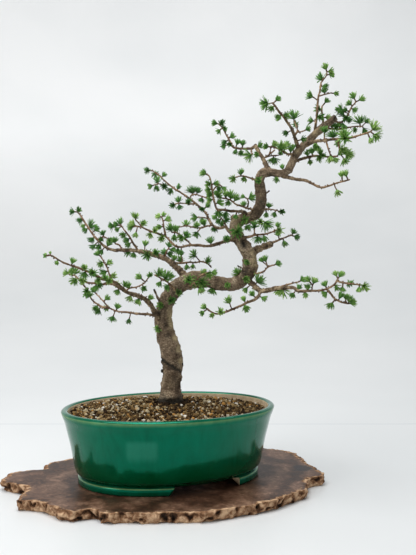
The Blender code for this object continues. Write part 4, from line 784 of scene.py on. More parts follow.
# Every limb has twigs and tufts. A twig is its radius at the foot, its radius at
# the tip and its route; the first twig of a limb grows from the trunk. A tuft is the
# place where its star of needles shows, with a size where it is larger than usual.
limbs = {
    "limb_low_left": {"twigs": (
        (4.0, 0.9, (-8, 188, 0), (-15, 199, -6), (-20, 209, -10), (-26, 218, -14), (-31, 222, -18),
         (-40, 226, -24), (-50, 229.5, -30), (-57, 234, -35), (-64, 240, -40), (-72, 243, -43),
         (-82, 246, -46), (-90, 251, -50), (-100, 255.5, -54), (-110, 259, -58), (-122, 263, -62),
         (-131, 267.5, -66), (-140, 273, -70), (-146, 273, -72)),
        (1.9, 0.9, (-57, 233, -35), (-66, 238, -38), (-75, 240, -38), (-80, 239, -36), (-90, 240, -32),
         (-99, 241, -28), (-107, 244, -24), (-112, 249, -20), (-119, 251, -18)),
        (1.1, 0.9, (-107, 244, -24), (-101, 236, -28), (-97, 232, -30)),
        (1.9, 0.8, (-16, 201, -5), (-25, 203, 0), (-40, 204, 8), (-50, 206, 14), (-62, 207, 20),
         (-70, 210, 24), (-75, 214, 27), (-82, 222, 31), (-88, 228, 34)),
        (1.7, 1.0, (-72, 211, 25), (-80, 212, 30), (-87, 216, 36), (-92, 220, 40), (-95, 225, 43)),
        (1.0, 0.8, (-53, 231, -32), (-47, 234.5, -36), (-38, 236.5, -42), (-31, 240, -47),
         (-27, 245, -50), (-24, 249, -52)),
        (1.1, 0.8, (-68, 242, -42), (-71, 248, -40), (-74, 257, -38), (-78, 265, -35), (-82, 272, -32)),
    ), "tufts": (
        (-147, 273, 0.5), (-142, 276, 0.45), (-133, 267, 0.65), (-116, 264), (-116, 257), (-112, 254),
        (-102, 258), (-102, 250), (-92, 252), (-85, 244), (-79, 253), (-77, 246), (-72, 243), (-63, 239),
        (-62, 231), (-53, 239), (-49, 236), (-48, 221), (-38, 218), (-31, 234), (-23, 223), (-122, 252),
        (-114, 242), (-104, 243), (-88, 236), (-84, 238), (-99, 231), (-96, 227), (-74, 223), (-69, 197),
        (-49, 195), (-62, 213), (-90, 231), (-76, 211), (-98, 229), (-86, 206), (-87, 212), (-37, 248),
        (-24, 250), (-86, 275), (-82, 263), (-73, 264), (-67, 249),
    )},
    "limb_front_left_twig": {"twigs": (
        (1.4, 0.9, (6, 232, -8), (-1, 240, -18), (-10, 246, -26), (-18, 250, -32)),
    ), "tufts": (
        (-5, 248, 1.3), (-13, 239), (-3, 236), (-12, 252), (2, 249),
    )},
    "limb_front_twig": {"twigs": (
        (1.3, 0.9, (23, 237, -12), (30, 243, -18), (36, 249, -22), (45, 253, -24)),
    ), "tufts": (
        (53, 253), (46, 251), (37, 231),
    )},
    "limb_left_back": {"twigs": (
        (4.6, 1.0, (18, 249, 6), (8, 259, 10), (0, 266, 14), (-8, 270, 18), (-15, 273, 22),
         (-25, 276, 28), (-35, 278, 33), (-45, 279, 38), (-56, 279.5, 44), (-66, 279.5, 49),
         (-73, 281, 53), (-79, 285, 56), (-85, 291, 60), (-90, 296, 63), (-95, 303, 66), (-100, 311, 69),
         (-105, 319, 72), (-110, 325, 75)),
        (1.1, 0.8, (-86, 292, 60), (-78, 295, 54), (-70, 290, 48)),
        (1.6, 1.0, (-57, 280, 44), (-60, 285, 40), (-65, 287, 38)),
        (1.6, 0.9, (-38, 279, 34), (-43, 287, 32), (-48, 295, 30), (-54, 303, 27), (-58, 309, 24)),
        (1.2, 0.9, (-6, 270, 17), (-4, 278, 14), (-2, 281, 12)),
        (1.6, 0.9, (2, 265, 13), (12, 264, 16), (22, 265, 19), (31, 264.5, 20), (36, 266, 20),
         (43, 264, 18), (49, 259, 15)),
        (0.9, 0.8, (36, 266, 20), (33, 269, 18), (31, 272, 17)),
    ), "tufts": (
        (-117, 325), (-109, 326), (-106, 315), (-103, 308), (-101, 303), (-91, 310, 1.3), (-86, 305),
        (-80, 300), (-91, 294), (-83, 291), (-92, 283), (-85, 283), (-82, 277), (-73, 286), (-50, 277),
        (-43, 276), (-27, 274, 1.4), (-29, 288), (-17, 275), (-66, 291), (-71, 291), (-59, 313),
        (-65, 310), (-71, 308), (-63, 304), (-56, 297), (-52, 291), (-50, 286), (-1, 284), (4, 280),
        (-1, 275), (-6, 277), (12, 269), (5, 270), (13, 276), (27, 275, 1.3), (45, 267), (20, 259),
        (27, 260),
    )},
    "limb_mid_left_front": {"twigs": (
        (2.4, 1.0, (76, 292, -2), (66, 290, -8), (55, 286.5, -13), (44, 284.5, -18), (33, 285.5, -23),
         (24, 285.5, -27), (15, 283, -31), (8, 283.5, -34), (2, 288, -37), (-5, 295, -40),
         (-14, 299, -44), (-24, 302.5, -48), (-33, 306.5, -52), (-40, 308, -55)),
        (1.3, 0.8, (-5, 295.5, -40), (-7, 305, -42), (-8, 313, -43), (-10, 319, -44)),
        (1.2, 0.8, (25, 286, -27), (20, 291, -24), (14, 295, -21), (8, 300, -19), (2, 300.5, -18)),
        (0.9, 0.8, (-33, 306.5, -52), (-38, 313, -50), (-41, 316, -48)),
    ), "tufts": (
        (-41, 319), (-46, 311), (-48, 306), (-32, 311), (-41, 297), (-24, 297), (-10, 294), (-13, 307),
        (-18, 303), (-14, 319), (-8, 321), (-3, 316), (0, 306), (20, 298), (13, 294), (5, 294), (6, 305),
        (48, 290), (67, 293), (13, 277), (9, 280),
    )},
    "limb_left_high_back": {"twigs": (
        (2.2, 0.9, (72, 301, 8), (66, 306.5, 14), (58, 305.5, 19), (51, 309, 24), (46, 316, 29),
         (43, 323, 33), (37, 329, 38), (30, 335, 42), (23, 341, 46), (17, 345, 50), (12, 348, 53),
         (5, 352, 57), (-2, 357.5, 61), (-8, 363, 65), (-14, 369, 69), (-20, 373, 73), (-25, 374, 75)),
        (1.0, 0.8, (-1, 356.5, 60), (-8, 357, 56), (-14, 358, 53), (-19, 356.5, 50)),
        (1.2, 0.8, (31, 334.5, 42), (25, 334, 38), (18, 335, 34), (11, 335, 31), (6, 334, 29)),
        (1.1, 0.8, (24, 342, 46), (26, 345, 44), (31, 345.5, 41), (37, 343.5, 37), (43, 341.5, 33)),
        (1.0, 0.8, (45, 317, 29), (40, 318, 25), (34, 318.5, 22)),
        (1.4, 0.8, (50, 309, 24), (43, 308, 20), (37, 306, 16), (28, 306.5, 11), (19, 308, 6),
         (10, 306.5, 2)),
        (0.9, 0.8, (37, 306, 16), (33, 302, 14)),
        (1.0, 0.8, (68, 306, 12), (64, 313, 10), (60, 319, 8), (58, 322, 7)),
    ), "tufts": (
        (-27, 374), (-17, 370), (-7, 369), (-15, 362), (-21, 356), (-16, 353), (-7, 355), (1, 351),
        (10, 354), (26, 353, 1.3), (22, 336), (4, 333), (10, 338), (11, 331), (32, 347), (37, 339),
        (46, 346), (30, 318), (38, 316), (39, 312), (38, 328), (45, 333), (19, 310), (8, 305), (32, 309),
        (32, 299), (41, 310), (58, 322), (53, 318), (57, 314), (67, 315), (62, 307), (53, 305),
    )},
    "limb_mid_upper_front": {"twigs": (
        (2.2, 0.9, (88, 324, 2), (80, 325, -6), (72, 326, -12), (64, 327, -18), (56, 328, -24),
         (53, 335, -28), (51, 343, -31), (50, 351, -34), (49, 359, -37), (47, 366, -39), (44, 369, -41)),
        (0.9, 0.8, (51, 350, -34), (54, 354, -36), (58, 357, -38), (60, 356, -40)),
    ), "tufts": (
        (39, 371), (45, 358), (52, 358), (61, 355), (58, 352), (44, 351), (48, 345), (48, 339), (60, 337),
        (66, 321), (78, 319), (57, 322),
    )},
    "limb_inner_upper_front": {"twigs": (
        (1.3, 0.9, (96, 328, 2), (86, 331, -6), (78, 334, -12), (71, 339, -18), (62, 341, -23),
         (56, 342, -25)),
        (1.0, 0.8, (91, 329.5, -2), (93, 336, -6), (91, 341, -9)),
    ), "tufts": (
        (55, 346), (73, 345, 1.3), (66, 344), (69, 336), (77, 339), (58, 345), (86, 343), (97, 342),
        (87, 333),
    )},
    "limb_short_left": {"twigs": (
        (1.6, 0.8, (102, 363, 0), (95, 365, -5), (88, 367, -9), (82, 367, -12), (78, 366, -14)),
    ), "tufts": (
        (84, 370), (74, 364), (88, 364),
    )},
    "limb_upper_left_back": {"twigs": (
        (3.6, 2.2, (117, 373, 2), (113, 382, 10), (109, 390, 16), (105, 397, 22), (101, 404, 27)),
        (2.0, 0.9, (101, 403, 27), (97, 400.5, 29), (90, 400, 33), (82, 400, 38), (75, 402, 42),
         (71, 409, 46), (67, 416, 50), (63, 423, 54), (58, 429, 58)),
        (0.9, 0.8, (97, 401, 29), (96, 396, 26), (98, 393, 24)),
        (1.2, 0.9, (112, 389, 14), (118, 393, 10), (124, 398, 6)),
        (1.0, 0.8, (112, 389, 14), (119, 391, 14), (126, 391.5, 16), (131, 392.5, 18)),
        (0.9, 0.8, (117, 392, 11), (119, 398, 12), (119, 402, 13)),
    ), "tufts": (
        (53, 430), (60, 429), (64, 423), (57, 420), (71, 413), (64, 407), (63, 402), (71, 405), (80, 408),
        (86, 407), (78, 398), (84, 395), (92, 390, 1.3), (103, 393), (107, 404), (114, 403), (131, 393),
        (123, 384, 1.3), (115, 402), (123, 404),
    )},
    "limb_inner_left_front": {"twigs": (
        (1.8, 0.9, (148, 393, -4), (140, 393, -12), (134, 396, -17), (128, 399.5, -22), (121, 402, -26)),
    ), "tufts": (
        (134, 403, 1.3), (124, 405), (139, 405), (130, 401), (146, 402), (143, 397),
    )},
    "limb_apex_left": {"twigs": (
        (2.5, 1.2, (152, 401, -2), (149, 410, -8), (147, 417, -13), (144, 424, -18), (139, 431, -24),
         (134, 438, -29), (129, 444, -34), (125, 450, -38), (121, 454, -41)),
        (1.2, 0.9, (148, 415, -12), (151, 421, -8), (149, 428, -5), (147, 433, -3)),
        (1.0, 0.8, (150, 419, -9), (156, 420, -6), (159, 421, -5)),
        (0.9, 0.8, (149.5, 408.5, -7), (154, 410, -10)),
    ), "tufts": (
        (111, 452, 1.3), (128, 459), (120, 447), (130, 438), (137, 438), (137, 418), (146, 441, 1.3),
        (163, 423), (158, 411), (149, 428),
    )},
    "limb_apex_up": {"twigs": (
        (1.8, 0.9, (172, 420, 4), (173, 430, 3), (174, 441, 1), (175, 452, -1), (176, 461, -3),
         (178, 469, -4), (179, 477, -5), (182, 482, -6), (185, 486, -7), (186, 491, -8)),
        (0.9, 0.8, (175, 457, -2), (171, 460, -4)),
        (1.0, 0.8, (176, 462, -3), (184, 464, 0), (191, 466, 3)),
    ), "tufts": (
        (184, 497), (187, 491), (192, 487), (178, 484), (184, 473), (183, 468), (165, 463), (197, 465),
        (166, 433), (178, 437),
    )},
    "limb_apex_back": {"twigs": (
        (1.6, 1.2, (182, 428, 4), (181, 436, 8), (180, 444, 11), (180, 450, 13)),
    ), "tufts": (
        (186, 457), (188, 437), (175, 447),
    )},
    "limb_apex_end": {"twigs": (
        (1.6, 0.9, (193, 433, 8), (200, 431, 12), (206, 433, 15), (211, 440, 18), (215, 449, 21),
         (220, 455, 24)),
    ), "tufts": (
        (217, 463), (228, 459), (213, 453), (218, 446), (209, 436), (207, 446), (199, 447, 1.3),
        (203, 442), (212, 434), (205, 428),
    )},
    "limb_right_high_back": {"twigs": (
        (1.6, 0.9, (186, 424, 6), (194, 423, 14), (203, 423, 22), (212, 425, 30), (221, 426, 38),
         (228, 426, 44)),
    ), "tufts": (
        (225, 436, 1.3), (234, 433), (219, 423), (231, 421), (197, 426), (201, 428), (192, 427),
    )},
    "limb_right_front": {"twigs": (
        (2.6, 1.0, (160, 404, 0), (170, 407.5, -10), (178, 409, -16), (185, 410, -22), (193, 411, -28),
         (203, 411.5, -34), (213, 412.5, -40), (223, 415, -46), (232, 417.5, -52), (238, 420, -56)),
        (1.1, 0.9, (185, 409, -22), (187, 401, -24), (190, 393, -26)),
        (1.1, 0.9, (199, 411, -31), (200, 404, -30), (201, 397, -30)),
        (1.0, 0.9, (183, 410, -21), (183, 417, -20)),
    ), "tufts": (
        (245, 428, 1.3), (246, 413, 1.3), (238, 409), (193, 414, 1.3), (207, 413, 1.3), (199, 406),
        (205, 418), (183, 420), (172, 404), (175, 400), (190, 389), (209, 395), (214, 391, 1.3),
        (208, 384), (197, 386), (204, 399),
    )},
    "limb_right_low_back": {"twigs": (
        (2.1, 1.1, (149, 385, -2), (157, 388, 5), (165, 390, 12), (173, 391, 18), (182, 390.5, 24),
         (191, 390, 30), (198, 391, 35)),
    ), "tufts": (
        (163, 393), (166, 384), (178, 396), (168, 398), (181, 391), (199, 392), (177, 389),
    )},
    "limb_right_long_front": {"twigs": (
        (2.5, 0.9, (133, 368, -4), (145, 364.5, -12), (155, 363, -19), (163, 361, -25), (170, 357.5, -31),
         (177, 354.5, -37), (183, 354, -42), (190, 356, -47), (198, 359, -52), (206, 361, -57),
         (213, 363, -62)),
    ), "tufts": (
        (203, 369), (199, 347), (208, 371),
    )},
    "limb_right_stub_back": {"twigs": (
        (5.0, 4.2, (96, 276, -2), (104, 280, 6), (112, 283.5, 12), (120, 286.5, 18)),
        (1.6, 0.9, (118, 287, 17), (125, 289.5, 22), (131, 292.5, 28), (138, 295, 34), (144, 297, 40)),
    ), "tufts": (
        (147, 302), (151, 295), (136, 287), (127, 299),
    )},
    "limb_right_mid_front": {"twigs": (
        (1.9, 1.0, (86, 294, -2), (94, 295, -10), (101, 297, -16), (110, 298, -22), (119, 300, -28),
         (128, 304, -34)),
        (0.9, 0.8, (100, 297, -16), (100, 305, -15)),
    ), "tufts": (
        (100, 309), (104, 293, 1.3), (112, 293), (128, 309), (130, 302),
    )},
    "limb_right_short_front": {"twigs": (
        (1.4, 1.0, (97, 314, 4), (104, 311.5, -6), (111, 314, -10)),
    ), "tufts": (
        (116, 308, 1.4), (107, 313), (92, 306),
    )},
    "limb_right_small_back": {"twigs": (
        (1.4, 0.8, (108, 328, 10), (116, 328, 18), (124, 327, 24), (131, 325, 30)),
    ), "tufts": (
        (117, 329), (124, 323), (132, 325), (114, 321),
    )},
    "limb_low_right_front": {"twigs": (
        (3.8, 1.1, (90, 246, -10), (97, 240, -14), (103, 234, -18), (110, 231, -22), (118, 232, -26),
         (126, 234, -30), (136, 234.5, -34), (146, 235, -38), (152, 231, -41), (160, 231, -44),
         (168, 231, -47), (176, 231.5, -50), (184, 233, -53), (191, 236, -56), (196, 240, -58),
         (199, 246, -60)),
        (1.3, 0.9, (128, 234.5, -30), (138, 238, -28), (146, 240.5, -26), (153, 242, -24)),
        (1.2, 0.8, (198, 243, -59), (204, 241, -60), (212, 240, -62), (220, 239, -64), (228, 238, -66)),
        (1.4, 1.1, (186, 233, -54), (191, 227, -50), (195, 222, -47), (203, 218, -44), (211, 216, -41)),
        (2.1, 1.0, (107, 231, -21), (105, 225, -26), (99, 220, -31), (92, 217.5, -36), (84, 214, -41),
         (74, 209.5, -46), (65, 206, -51), (56, 204, -55), (49, 206, -58), (44, 210, -60)),
        (0.9, 0.8, (168, 231, -47), (169, 238, -46)),
    ), "tufts": (
        (156, 244), (163, 245), (171, 243), (183, 240), (196, 252), (203, 251), (212, 240), (224, 234),
        (231, 236), (134, 227, 1.3), (145, 226), (128, 230), (160, 228), (184, 228), (152, 234),
        (163, 235), (198, 235), (204, 232), (209, 224), (214, 222), (216, 217), (190, 213), (202, 225),
        (41, 212), (38, 205), (50, 203), (60, 206), (69, 221), (88, 220), (90, 211), (112, 222),
        (97, 228), (89, 232), (108, 246, 1.4),
    )},
    "limb_bend_twig": {"twigs": (
        (1.4, 0.9, (98, 252, -9), (106, 252, -16), (112, 255, -20), (116, 259, -24), (122, 261.5, -28)),
    ), "tufts": (
        (129, 264), (112, 270), (108, 268),
    )},
}


bark = {"sides": 72, "step": 0.72, "size": 0.985, "lump": 0.125, "fissure": 0.11, "knot": 0.16,
        "flare": 0.13, "hollow": 2.6, "bulge": 1.5, "bulgeAt": (76.0, 318.0), "scarAt": (87.0, 286.5),
        "bandHeight": 143.1, "bandFall": 0.58, "bandWidth": 2.7}


# A stem's skin laid round a cylinder, so that noise runs on across its seam.
def rolled(angle, size, reads):
    x, y = np.cos(angle) * size, np.sin(angle) * size
    return np.stack(np.broadcast_arrays(x, y, reads[:, None]), axis=-1)


# Trunk shape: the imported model's radius factor plus bark. Bark is layered noise, with
# cracks round the trunk where a second noise crosses zero; roots are five lobes low down.
def trunkRelief(centres, radii, reads, angle):
    height = centres[:, 2:]
    shape = 1.0 + 0.035 * np.sin(2 * angle + 0.13 * height) + 0.025 * np.cos(3 * angle - 0.21 * height)
    lobes = 0.35 + 0.65 * np.cos(5 * angle + 0.6 + 0.6 * np.sin(2 * angle))
    shape = shape + bark["flare"] * smoothStep(112.0, 94.0, height) * lobes
    skinSpots = rolled(angle, 9.0, reads)
    cracks = bell(noise(skinSpots * [0.75, 0.75, 2.0], 3.6, 19), 0.14)
    cracks = cracks * smoothStep(-0.5, 0.4, noise(skinSpots, 12.0, 29))
    knots = np.maximum(noise(skinSpots, 7.5, 23) - 0.2, 0.0)
    relief = bark["lump"] * layered(skinSpots * [1, 1, 0.7], 5.5, 11) - bark["fissure"] * cracks
    thick = np.clip(radii[:, None] / 12.0, 0.35, 1.0)
    return shape + (relief + bark["knot"] * knots) * (0.6 + 0.4 / thick), cracks


# Dark places on the trunk's front, as (x, z in the view, size, strength).
darkMarks = (
    (120, 367, 4.5, 1.0), (108, 355, 3.2, 0.7), (110, 334, 5.5, 0.6), (104, 322, 4.0, 0.5),
    (89, 256, 5.0, 0.8), (-14, 205, 2.4, 0.8), (-10, 197, 2.0, 0.7), (-5, 190, 2.6, 0.6),
    (-3, 178, 3.4, 0.6), (2, 160, 2.6, 0.5), (30, 239, 5.0, 0.6), (12, 238, 3.0, 0.4),
    (62, 231, 4.0, 0.5), (76, 300, 3.0, 0.5), (150, 392, 2.6, 0.6), (-9, 150, 2.4, 0.5),
    (6, 128, 2.8, 0.5), (93, 243, 4.0, 0.6), (196, 437, 3.5, 0.9), (158, 402, 2.2, 0.5),
)

# Pale places, painted highlights where light falls on the bark, written the same way.
paleMarks = (
    (3, 206, 8.0, 1.0), (4, 192, 7.0, 1.0), (8, 177, 5.5, 1.0), (11, 162, 4.5, 0.9), (13, 148, 3.5, 0.8),
    (0, 120, 9.0, 0.35), (100, 264, 6.0, 0.9), (98, 277, 5.5, 0.7), (76, 318, 6.5, 0.9),
    (80, 306, 5.5, 0.8), (26, 248, 7.0, 0.4), (60, 243, 7.0, 0.4), (150, 398, 6.0, 0.6),
    (172, 420, 7.0, 0.7), (108, 345, 4.0, 0.5),
)


# Marks added up, each a bell of the distance in the view with noise added, 1 at most.
def addedMarks(marks, seenX, seenZ, wander):
    return np.minimum(sum(strength * bell(np.hypot(seenX - x, seenZ - z) + wander, size)
                          for x, z, size, strength in marks), 1.0)


# Marks on the trunk by where they show in the front view: a hollow scar, a dark band that
# falls to the right, the dark places, and the pale places painted as highlights.
def trunkMarks(spots):
    x, y, z = np.moveaxis(spots, -1, 0)
    front = smoothStep(2.0, -3.0, y - np.interp(z, [100, 240, 300], [0, 0, 2]))
    scale = eye[1] / (eye[1] - y)
    seenX, seenZ = eye[0] + (x - eye[0]) * scale, eye[2] + (z - eye[2]) * scale
    wander = noise(spots, 5.0, 37)
    scarX, scarZ = bark["scarAt"]
    scar = bell(np.hypot(x - scarX, (z - scarZ) / 1.5) + wander, 4.2) * front
    above = seenZ - bark["bandHeight"] + bark["bandFall"] * seenX + 1.2 * wander
    band = bell(above, bark["bandWidth"]) * front * (seenZ < 165)
    return (scar, band, addedMarks(darkMarks, seenX, seenZ, 1.6 * wander),
            addedMarks(paleMarks, seenX, seenZ, 2.0 * wander))


# Trunk: centre + radius x relief x spoke, less the hollows of its marks, plus one bulge at
# the upper bend. The dark value adds up the marks, the cracks and the wet foot; the pale value
# is painted highlight. A stub is cut, so its end is dark, but the last and thickest is a knot.
def buildTrunk(finish, needles):
    centre = [(*place(x, z, depth), radius) for x, z, depth, radius in trunkLine]
    route, reads = smoothRoute(centre, bark["step"])
    centres, radii = route[:, :3], route[:, 3] * bark["size"]
    angle = turns(bark["sides"])
    relief, cracks = trunkRelief(centres, radii, reads, angle[None])
    along, across, other = routeFrames(centres)
    spread = spokes(across, other, angle)
    rows = centres[:, None] + spread * (radii[:, None] * relief)[..., None]
    scar, band, stain, paintedHighlight = trunkMarks(rows)
    rows = rows - spread * (bark["hollow"] * scar + 0.5 * band + 0.5 * stain)[..., None]
    bulgeX, bulgeZ = bark["bulgeAt"]
    away = np.hypot(rows[..., 0] - bulgeX, rows[..., 2] - bulgeZ)
    rows = rows + spread * (bark["bulge"] * bell(away, 5.0))[..., None]
    dark = np.clip(0.95 * scar + 0.8 * band + 0.42 * cracks + 0.85 * stain, 0, 1)
    dark[-1] = 1.0
    dark = np.maximum(dark, 0.9 * smoothStep(112.0, 102.0, rows[..., 2] + 3.0 * noise(rows, 5.0, 39)))
    shape, leaves = Shape(), Shape()
    shape.add(skin(rows, centres[0], centres[-1] + along[-1] * 0.4), dark=withPoles(dark, 1.0, 1.0), old=1.0,
              pale=withPoles(paintedHighlight, 0.0, 0.0))
    for foot, tip, *spots in trunkStubs:
        growTwig(shape, [place(*spot) for spot in spots], foot, tip, random.Random(int(foot * 100)),
                 old=1.0, pegs=False, cut=tip < 3.0)
    growTufts(shape, leaves, [np.array(trunkLine)], trunkTufts, 0)
    shape.piece("larchTrunk", finish, "trunk", "bark")
    leaves.piece("trunkNeedles", needles, "trunk", "needles")


twig = {"step": 1.0, "lump": 0.22, "ring": 0.16, "ringGap": 4.6, "pegGap": 4.4,
        "pegLong": 1.25, "reduce": 0.92}


# A twig: radius = tip + (foot - tip)(1 - way)^1.35, with noise and rings of old short
# shoots. A collar widens its foot, and a cut end is dark.
def growTwig(shape, route, foot, tip, draw, old=0.0, pegs=True, collar=False, cut=False):
    route = np.array(route)
    ways = np.concatenate([[0], np.cumsum(np.linalg.norm(np.diff(route, axis=0), axis=1))])
    radii = tip + (foot - tip) * (1.0 - ways / ways[-1]) ** 1.35
    if collar:
        radii[:2] = foot * 1.25, foot * 1.12
    line, reads = smoothRoute(np.column_stack([route, radii]), twig["step"])
    centres, radii = line[:, :3], line[:, 3] * twig["reduce"]
    wander = np.stack([noise(centres + shift, 11.0, 43) for shift in (0.0, 37.0, 71.0)], axis=1)
    centres = centres + wander * np.minimum(0.55, radii * 0.35)[:, None] * smoothStep(0, 8, reads)[:, None]
    sides = 12 if foot > 3.0 else 9 if foot > 1.6 else 7
    skinSpots = centres[:, None] + rolled(turns(sides)[None], 1.5, 0.0 * reads)
    rings = np.maximum(0.0, np.sin(reads[:, None] * 2 * np.pi / twig["ringGap"] + 5 * wander[:, :1])) ** 4
    relief = 1.0 + twig["lump"] * layered(skinSpots, 3.6, 47, 2) + twig["ring"] * rings
    aged = np.clip(old + smoothStep(0.95, 1.9, radii), 0.0, 1.0)
    shade = np.clip(0.35 * bell(noise(skinSpots, 4.0, 49), 0.15), 0, 1)
    if cut:
        shade[-2:] = 1.0
    shape.add(stem(centres, radii, sides, relief), old=withPoles(np.repeat(aged, sides), 1.0, aged[-1]),
              pale=0.0, dark=withPoles(shade, 1.0, 1.0 if cut else 0.6))
    if pegs:
        addPegs(shape, centres, radii, reads, draw)


# Pegs of old shoots at random gaps along a twig, each on a random spoke and leaning ahead.
def addPegs(shape, centres, radii, reads, draw):
    along, across, other = routeFrames(centres)
    spot = draw.uniform(2.0, twig["pegGap"])
    while spot < reads[-1] - 1.0:
        at = int(np.searchsorted(reads, spot))
        turn = draw.uniform(0, 2 * math.pi)
        side = across[at] * math.cos(turn) + other[at] * math.sin(turn)
        top = centres[at] + side * (radii[at] + draw.uniform(0.5, 1.0) * twig["pegLong"]) + along[at] * 0.4
        middle = (centres[at] + top) / 2 + side * radii[at] * 0.2
        knob = draw.uniform(0.55, 0.95)
        form = stem(np.array([centres[at], middle, top]), np.array([knob, knob, knob * 0.9]), 5)
        shape.add(form, old=0.3, pale=0.0, dark=draw.uniform(0.25, 0.9))
        spot += draw.uniform(0.55, 1.45) * twig["pegGap"]


tuft = {"needles": 34, "manyMore": 1.35, "long": 9.0, "wide": 1.22, "bend": 0.10, "core": 0.9,
        "blade": (0.60, 0.92, 1.0, 0.66), "goldenTurn": 2.39996}


# Needles of one tuft: directions on a golden spiral round its axis, each a three-sided
# blade that bends back: width x blade shape along it, spine + bend x way squared.
def addNeedles(shape, head, axis, size, long, draw, tint):
    large = size > 1.15
    count = int(tuft["needles"] * (tuft["manyMore"] if large else 1.0))
    order = np.arange(count)
    widest = 62.0 if large else 24.0 + 24.0 * draw.uniform()
    polar = np.radians(5.0 + widest * ((order + 0.5) / count) ** 0.6 + draw.normal(0, 4, count))
    around = order * tuft["goldenTurn"] + draw.normal(0, 0.22, count) + draw.uniform(0, 6.28)
    side = unit(np.cross(axis, (0.3, 0.2, 0.9)))
    other = np.cross(axis, side)
    ray = side * np.cos(around)[:, None] + other * np.sin(around)[:, None]
    heading = axis * np.cos(polar)[:, None] + ray * np.sin(polar)[:, None]
    back = unit(ray * np.cos(polar)[:, None] - axis * np.sin(polar)[:, None])
    reach = long * draw.uniform(0.72, 1.04, count) * (1.0 - 0.12 * np.cos(polar))
    width = tuft["wide"] * draw.uniform(0.85, 1.15, count)
    bend = tuft["bend"] * draw.uniform(-0.25, 1.0, count)
    blade = np.array(tuft["blade"])
    steps = len(blade)
    ways = np.linspace(0.0, 1.0, steps)
    spine = (head + heading * 0.3)[:, None] + heading[:, None] * (reach[:, None] * ways)[..., None]
    spine = spine + back[:, None] * (reach[:, None] * bend[:, None] * ways ** 2)[..., None]
    across = unit(np.cross(heading, back))[:, None] * (width[:, None] * 0.5 * blade)[..., None]
    ridge = back[:, None] * (width[:, None] * 0.30 * blade)[..., None]
    rows = np.stack([spine - across - ridge * 0.4, spine + across - ridge * 0.4, spine + ridge], axis=2)
    tip = spine[:, -1] + heading * (width * 0.7)[:, None]
    corners = np.concatenate([rows.reshape(count, -1, 3), tip[:, None]], axis=1)
    each = steps * 3
    tris = np.concatenate([[[2, 1, 0]], poleTris(each, each - 3, 3, False)])
    shift = (order * (each + 1))[:, None, None]
    along = np.append(np.repeat(ways, 3), 1.0)
    # Each needle lighter towards its tip: painted light on the tips and painted shade at the feet inside the
    # tuft.
    tone = np.clip(tint + draw.normal(0, 0.15, count)[:, None] + 0.34 * (along - 0.4), 0.02, 1.0)
    shape.add((corners.reshape(-1, 3), ringQuads(steps, 3) + shift, tris + shift), tint=tone.ravel(),
              along=np.tile(along, count))


# Where a tuft grows from: the nearest place on the limb's twigs, in the front view.
def nearestRoot(routes, x, z):
    nearest, root = 1e9, None
    for route in routes:
        start, stop = route[:-1], route[1:]
        span = stop[:, :2] - start[:, :2]
        share = ((np.array([x, z]) - start[:, :2]) * span).sum(axis=1) / (span ** 2).sum(axis=1)
        spots = start + (stop - start) * np.clip(share, 0.05, 0.98)[:, None]
        away = np.hypot(spots[:, 0] - x, spots[:, 1] - z)
        pick = int(np.argmin(away))
        if away[pick] < nearest:
            nearest, root = away[pick], spots[pick]
    return root


# How far in front of its root a tuft stands: a random lean, and on the trunk (number 0)
# far enough for the tuft to clear the bark in front of it.
def tuftLean(root, x, z, number, draw):
    lean = draw.uniform(-7.0, 4.5)
    if number > 0:
        return lean
    ahead = (root[3] + 1.0) ** 2 - (root[0] - x) ** 2 - (root[1] - z) ** 2
    return -math.sqrt(ahead) - 2.0 if ahead > 0 else lean


# Tufts: a slightly bent spur from the root towards the place where the tuft shows, and
# the needles round its head. Tint is noise by place, less a share of the distance back as
# painted shade on the tufts further back.
def growTufts(wood, leaves, routes, tufts, number):
    for index, (x, z, *larger) in enumerate(tufts):
        size = larger[0] if larger else 1.0
        root = nearestRoot(routes, x, z)
        draw = random.Random(1000 * number + index)
        star = place(x, z, root[2] + tuftLean(root, x, z, number, draw))
        foot = place(*root[:3])
        axis = star - foot
        far = float(np.linalg.norm(axis))
        axis = axis / far
        long = tuft["long"] * size * draw.uniform(0.78, 1.12)
        spur = max(root[3] * 0.8 if number == 0 else 1.6, far - 0.55 * long)
        head = foot + axis * spur
        bend = np.array([draw.uniform(-1, 1), draw.uniform(-1, 1), draw.uniform(-1, 0.3)])
        middle = foot + axis * spur * 0.5 + bend * min(1.6, spur * 0.12)
        body = smoothRoute([foot, middle, head + axis * 0.3], 1.3)[0]
        count = len(body)
        radii = np.linspace(0.8, tuft["core"], count) if spur < 6 else np.full(count, 0.7)
        radii = radii * (1.0 + 0.10 * np.sin(np.arange(count) * 2.4))
        radii[-1] = tuft["core"]
        shade = withPoles(np.repeat(np.linspace(0.3, 0.7, count), 6), 0, 0.5)
        wood.add(stem(body, radii, 6), old=0.15, pale=0.0, dark=shade)
        dice = np.random.default_rng(1000 * number + index)
        # Tufts further back are painted darker, as shade.
        tint = 0.42 + 0.24 * noise(head, 26.0, 57) - 0.0024 * (head[1] - 5.0) + dice.normal(0, 0.10)
        addNeedles(leaves, head, axis, size, long, dice, float(np.clip(tint, 0.08, 0.8)))


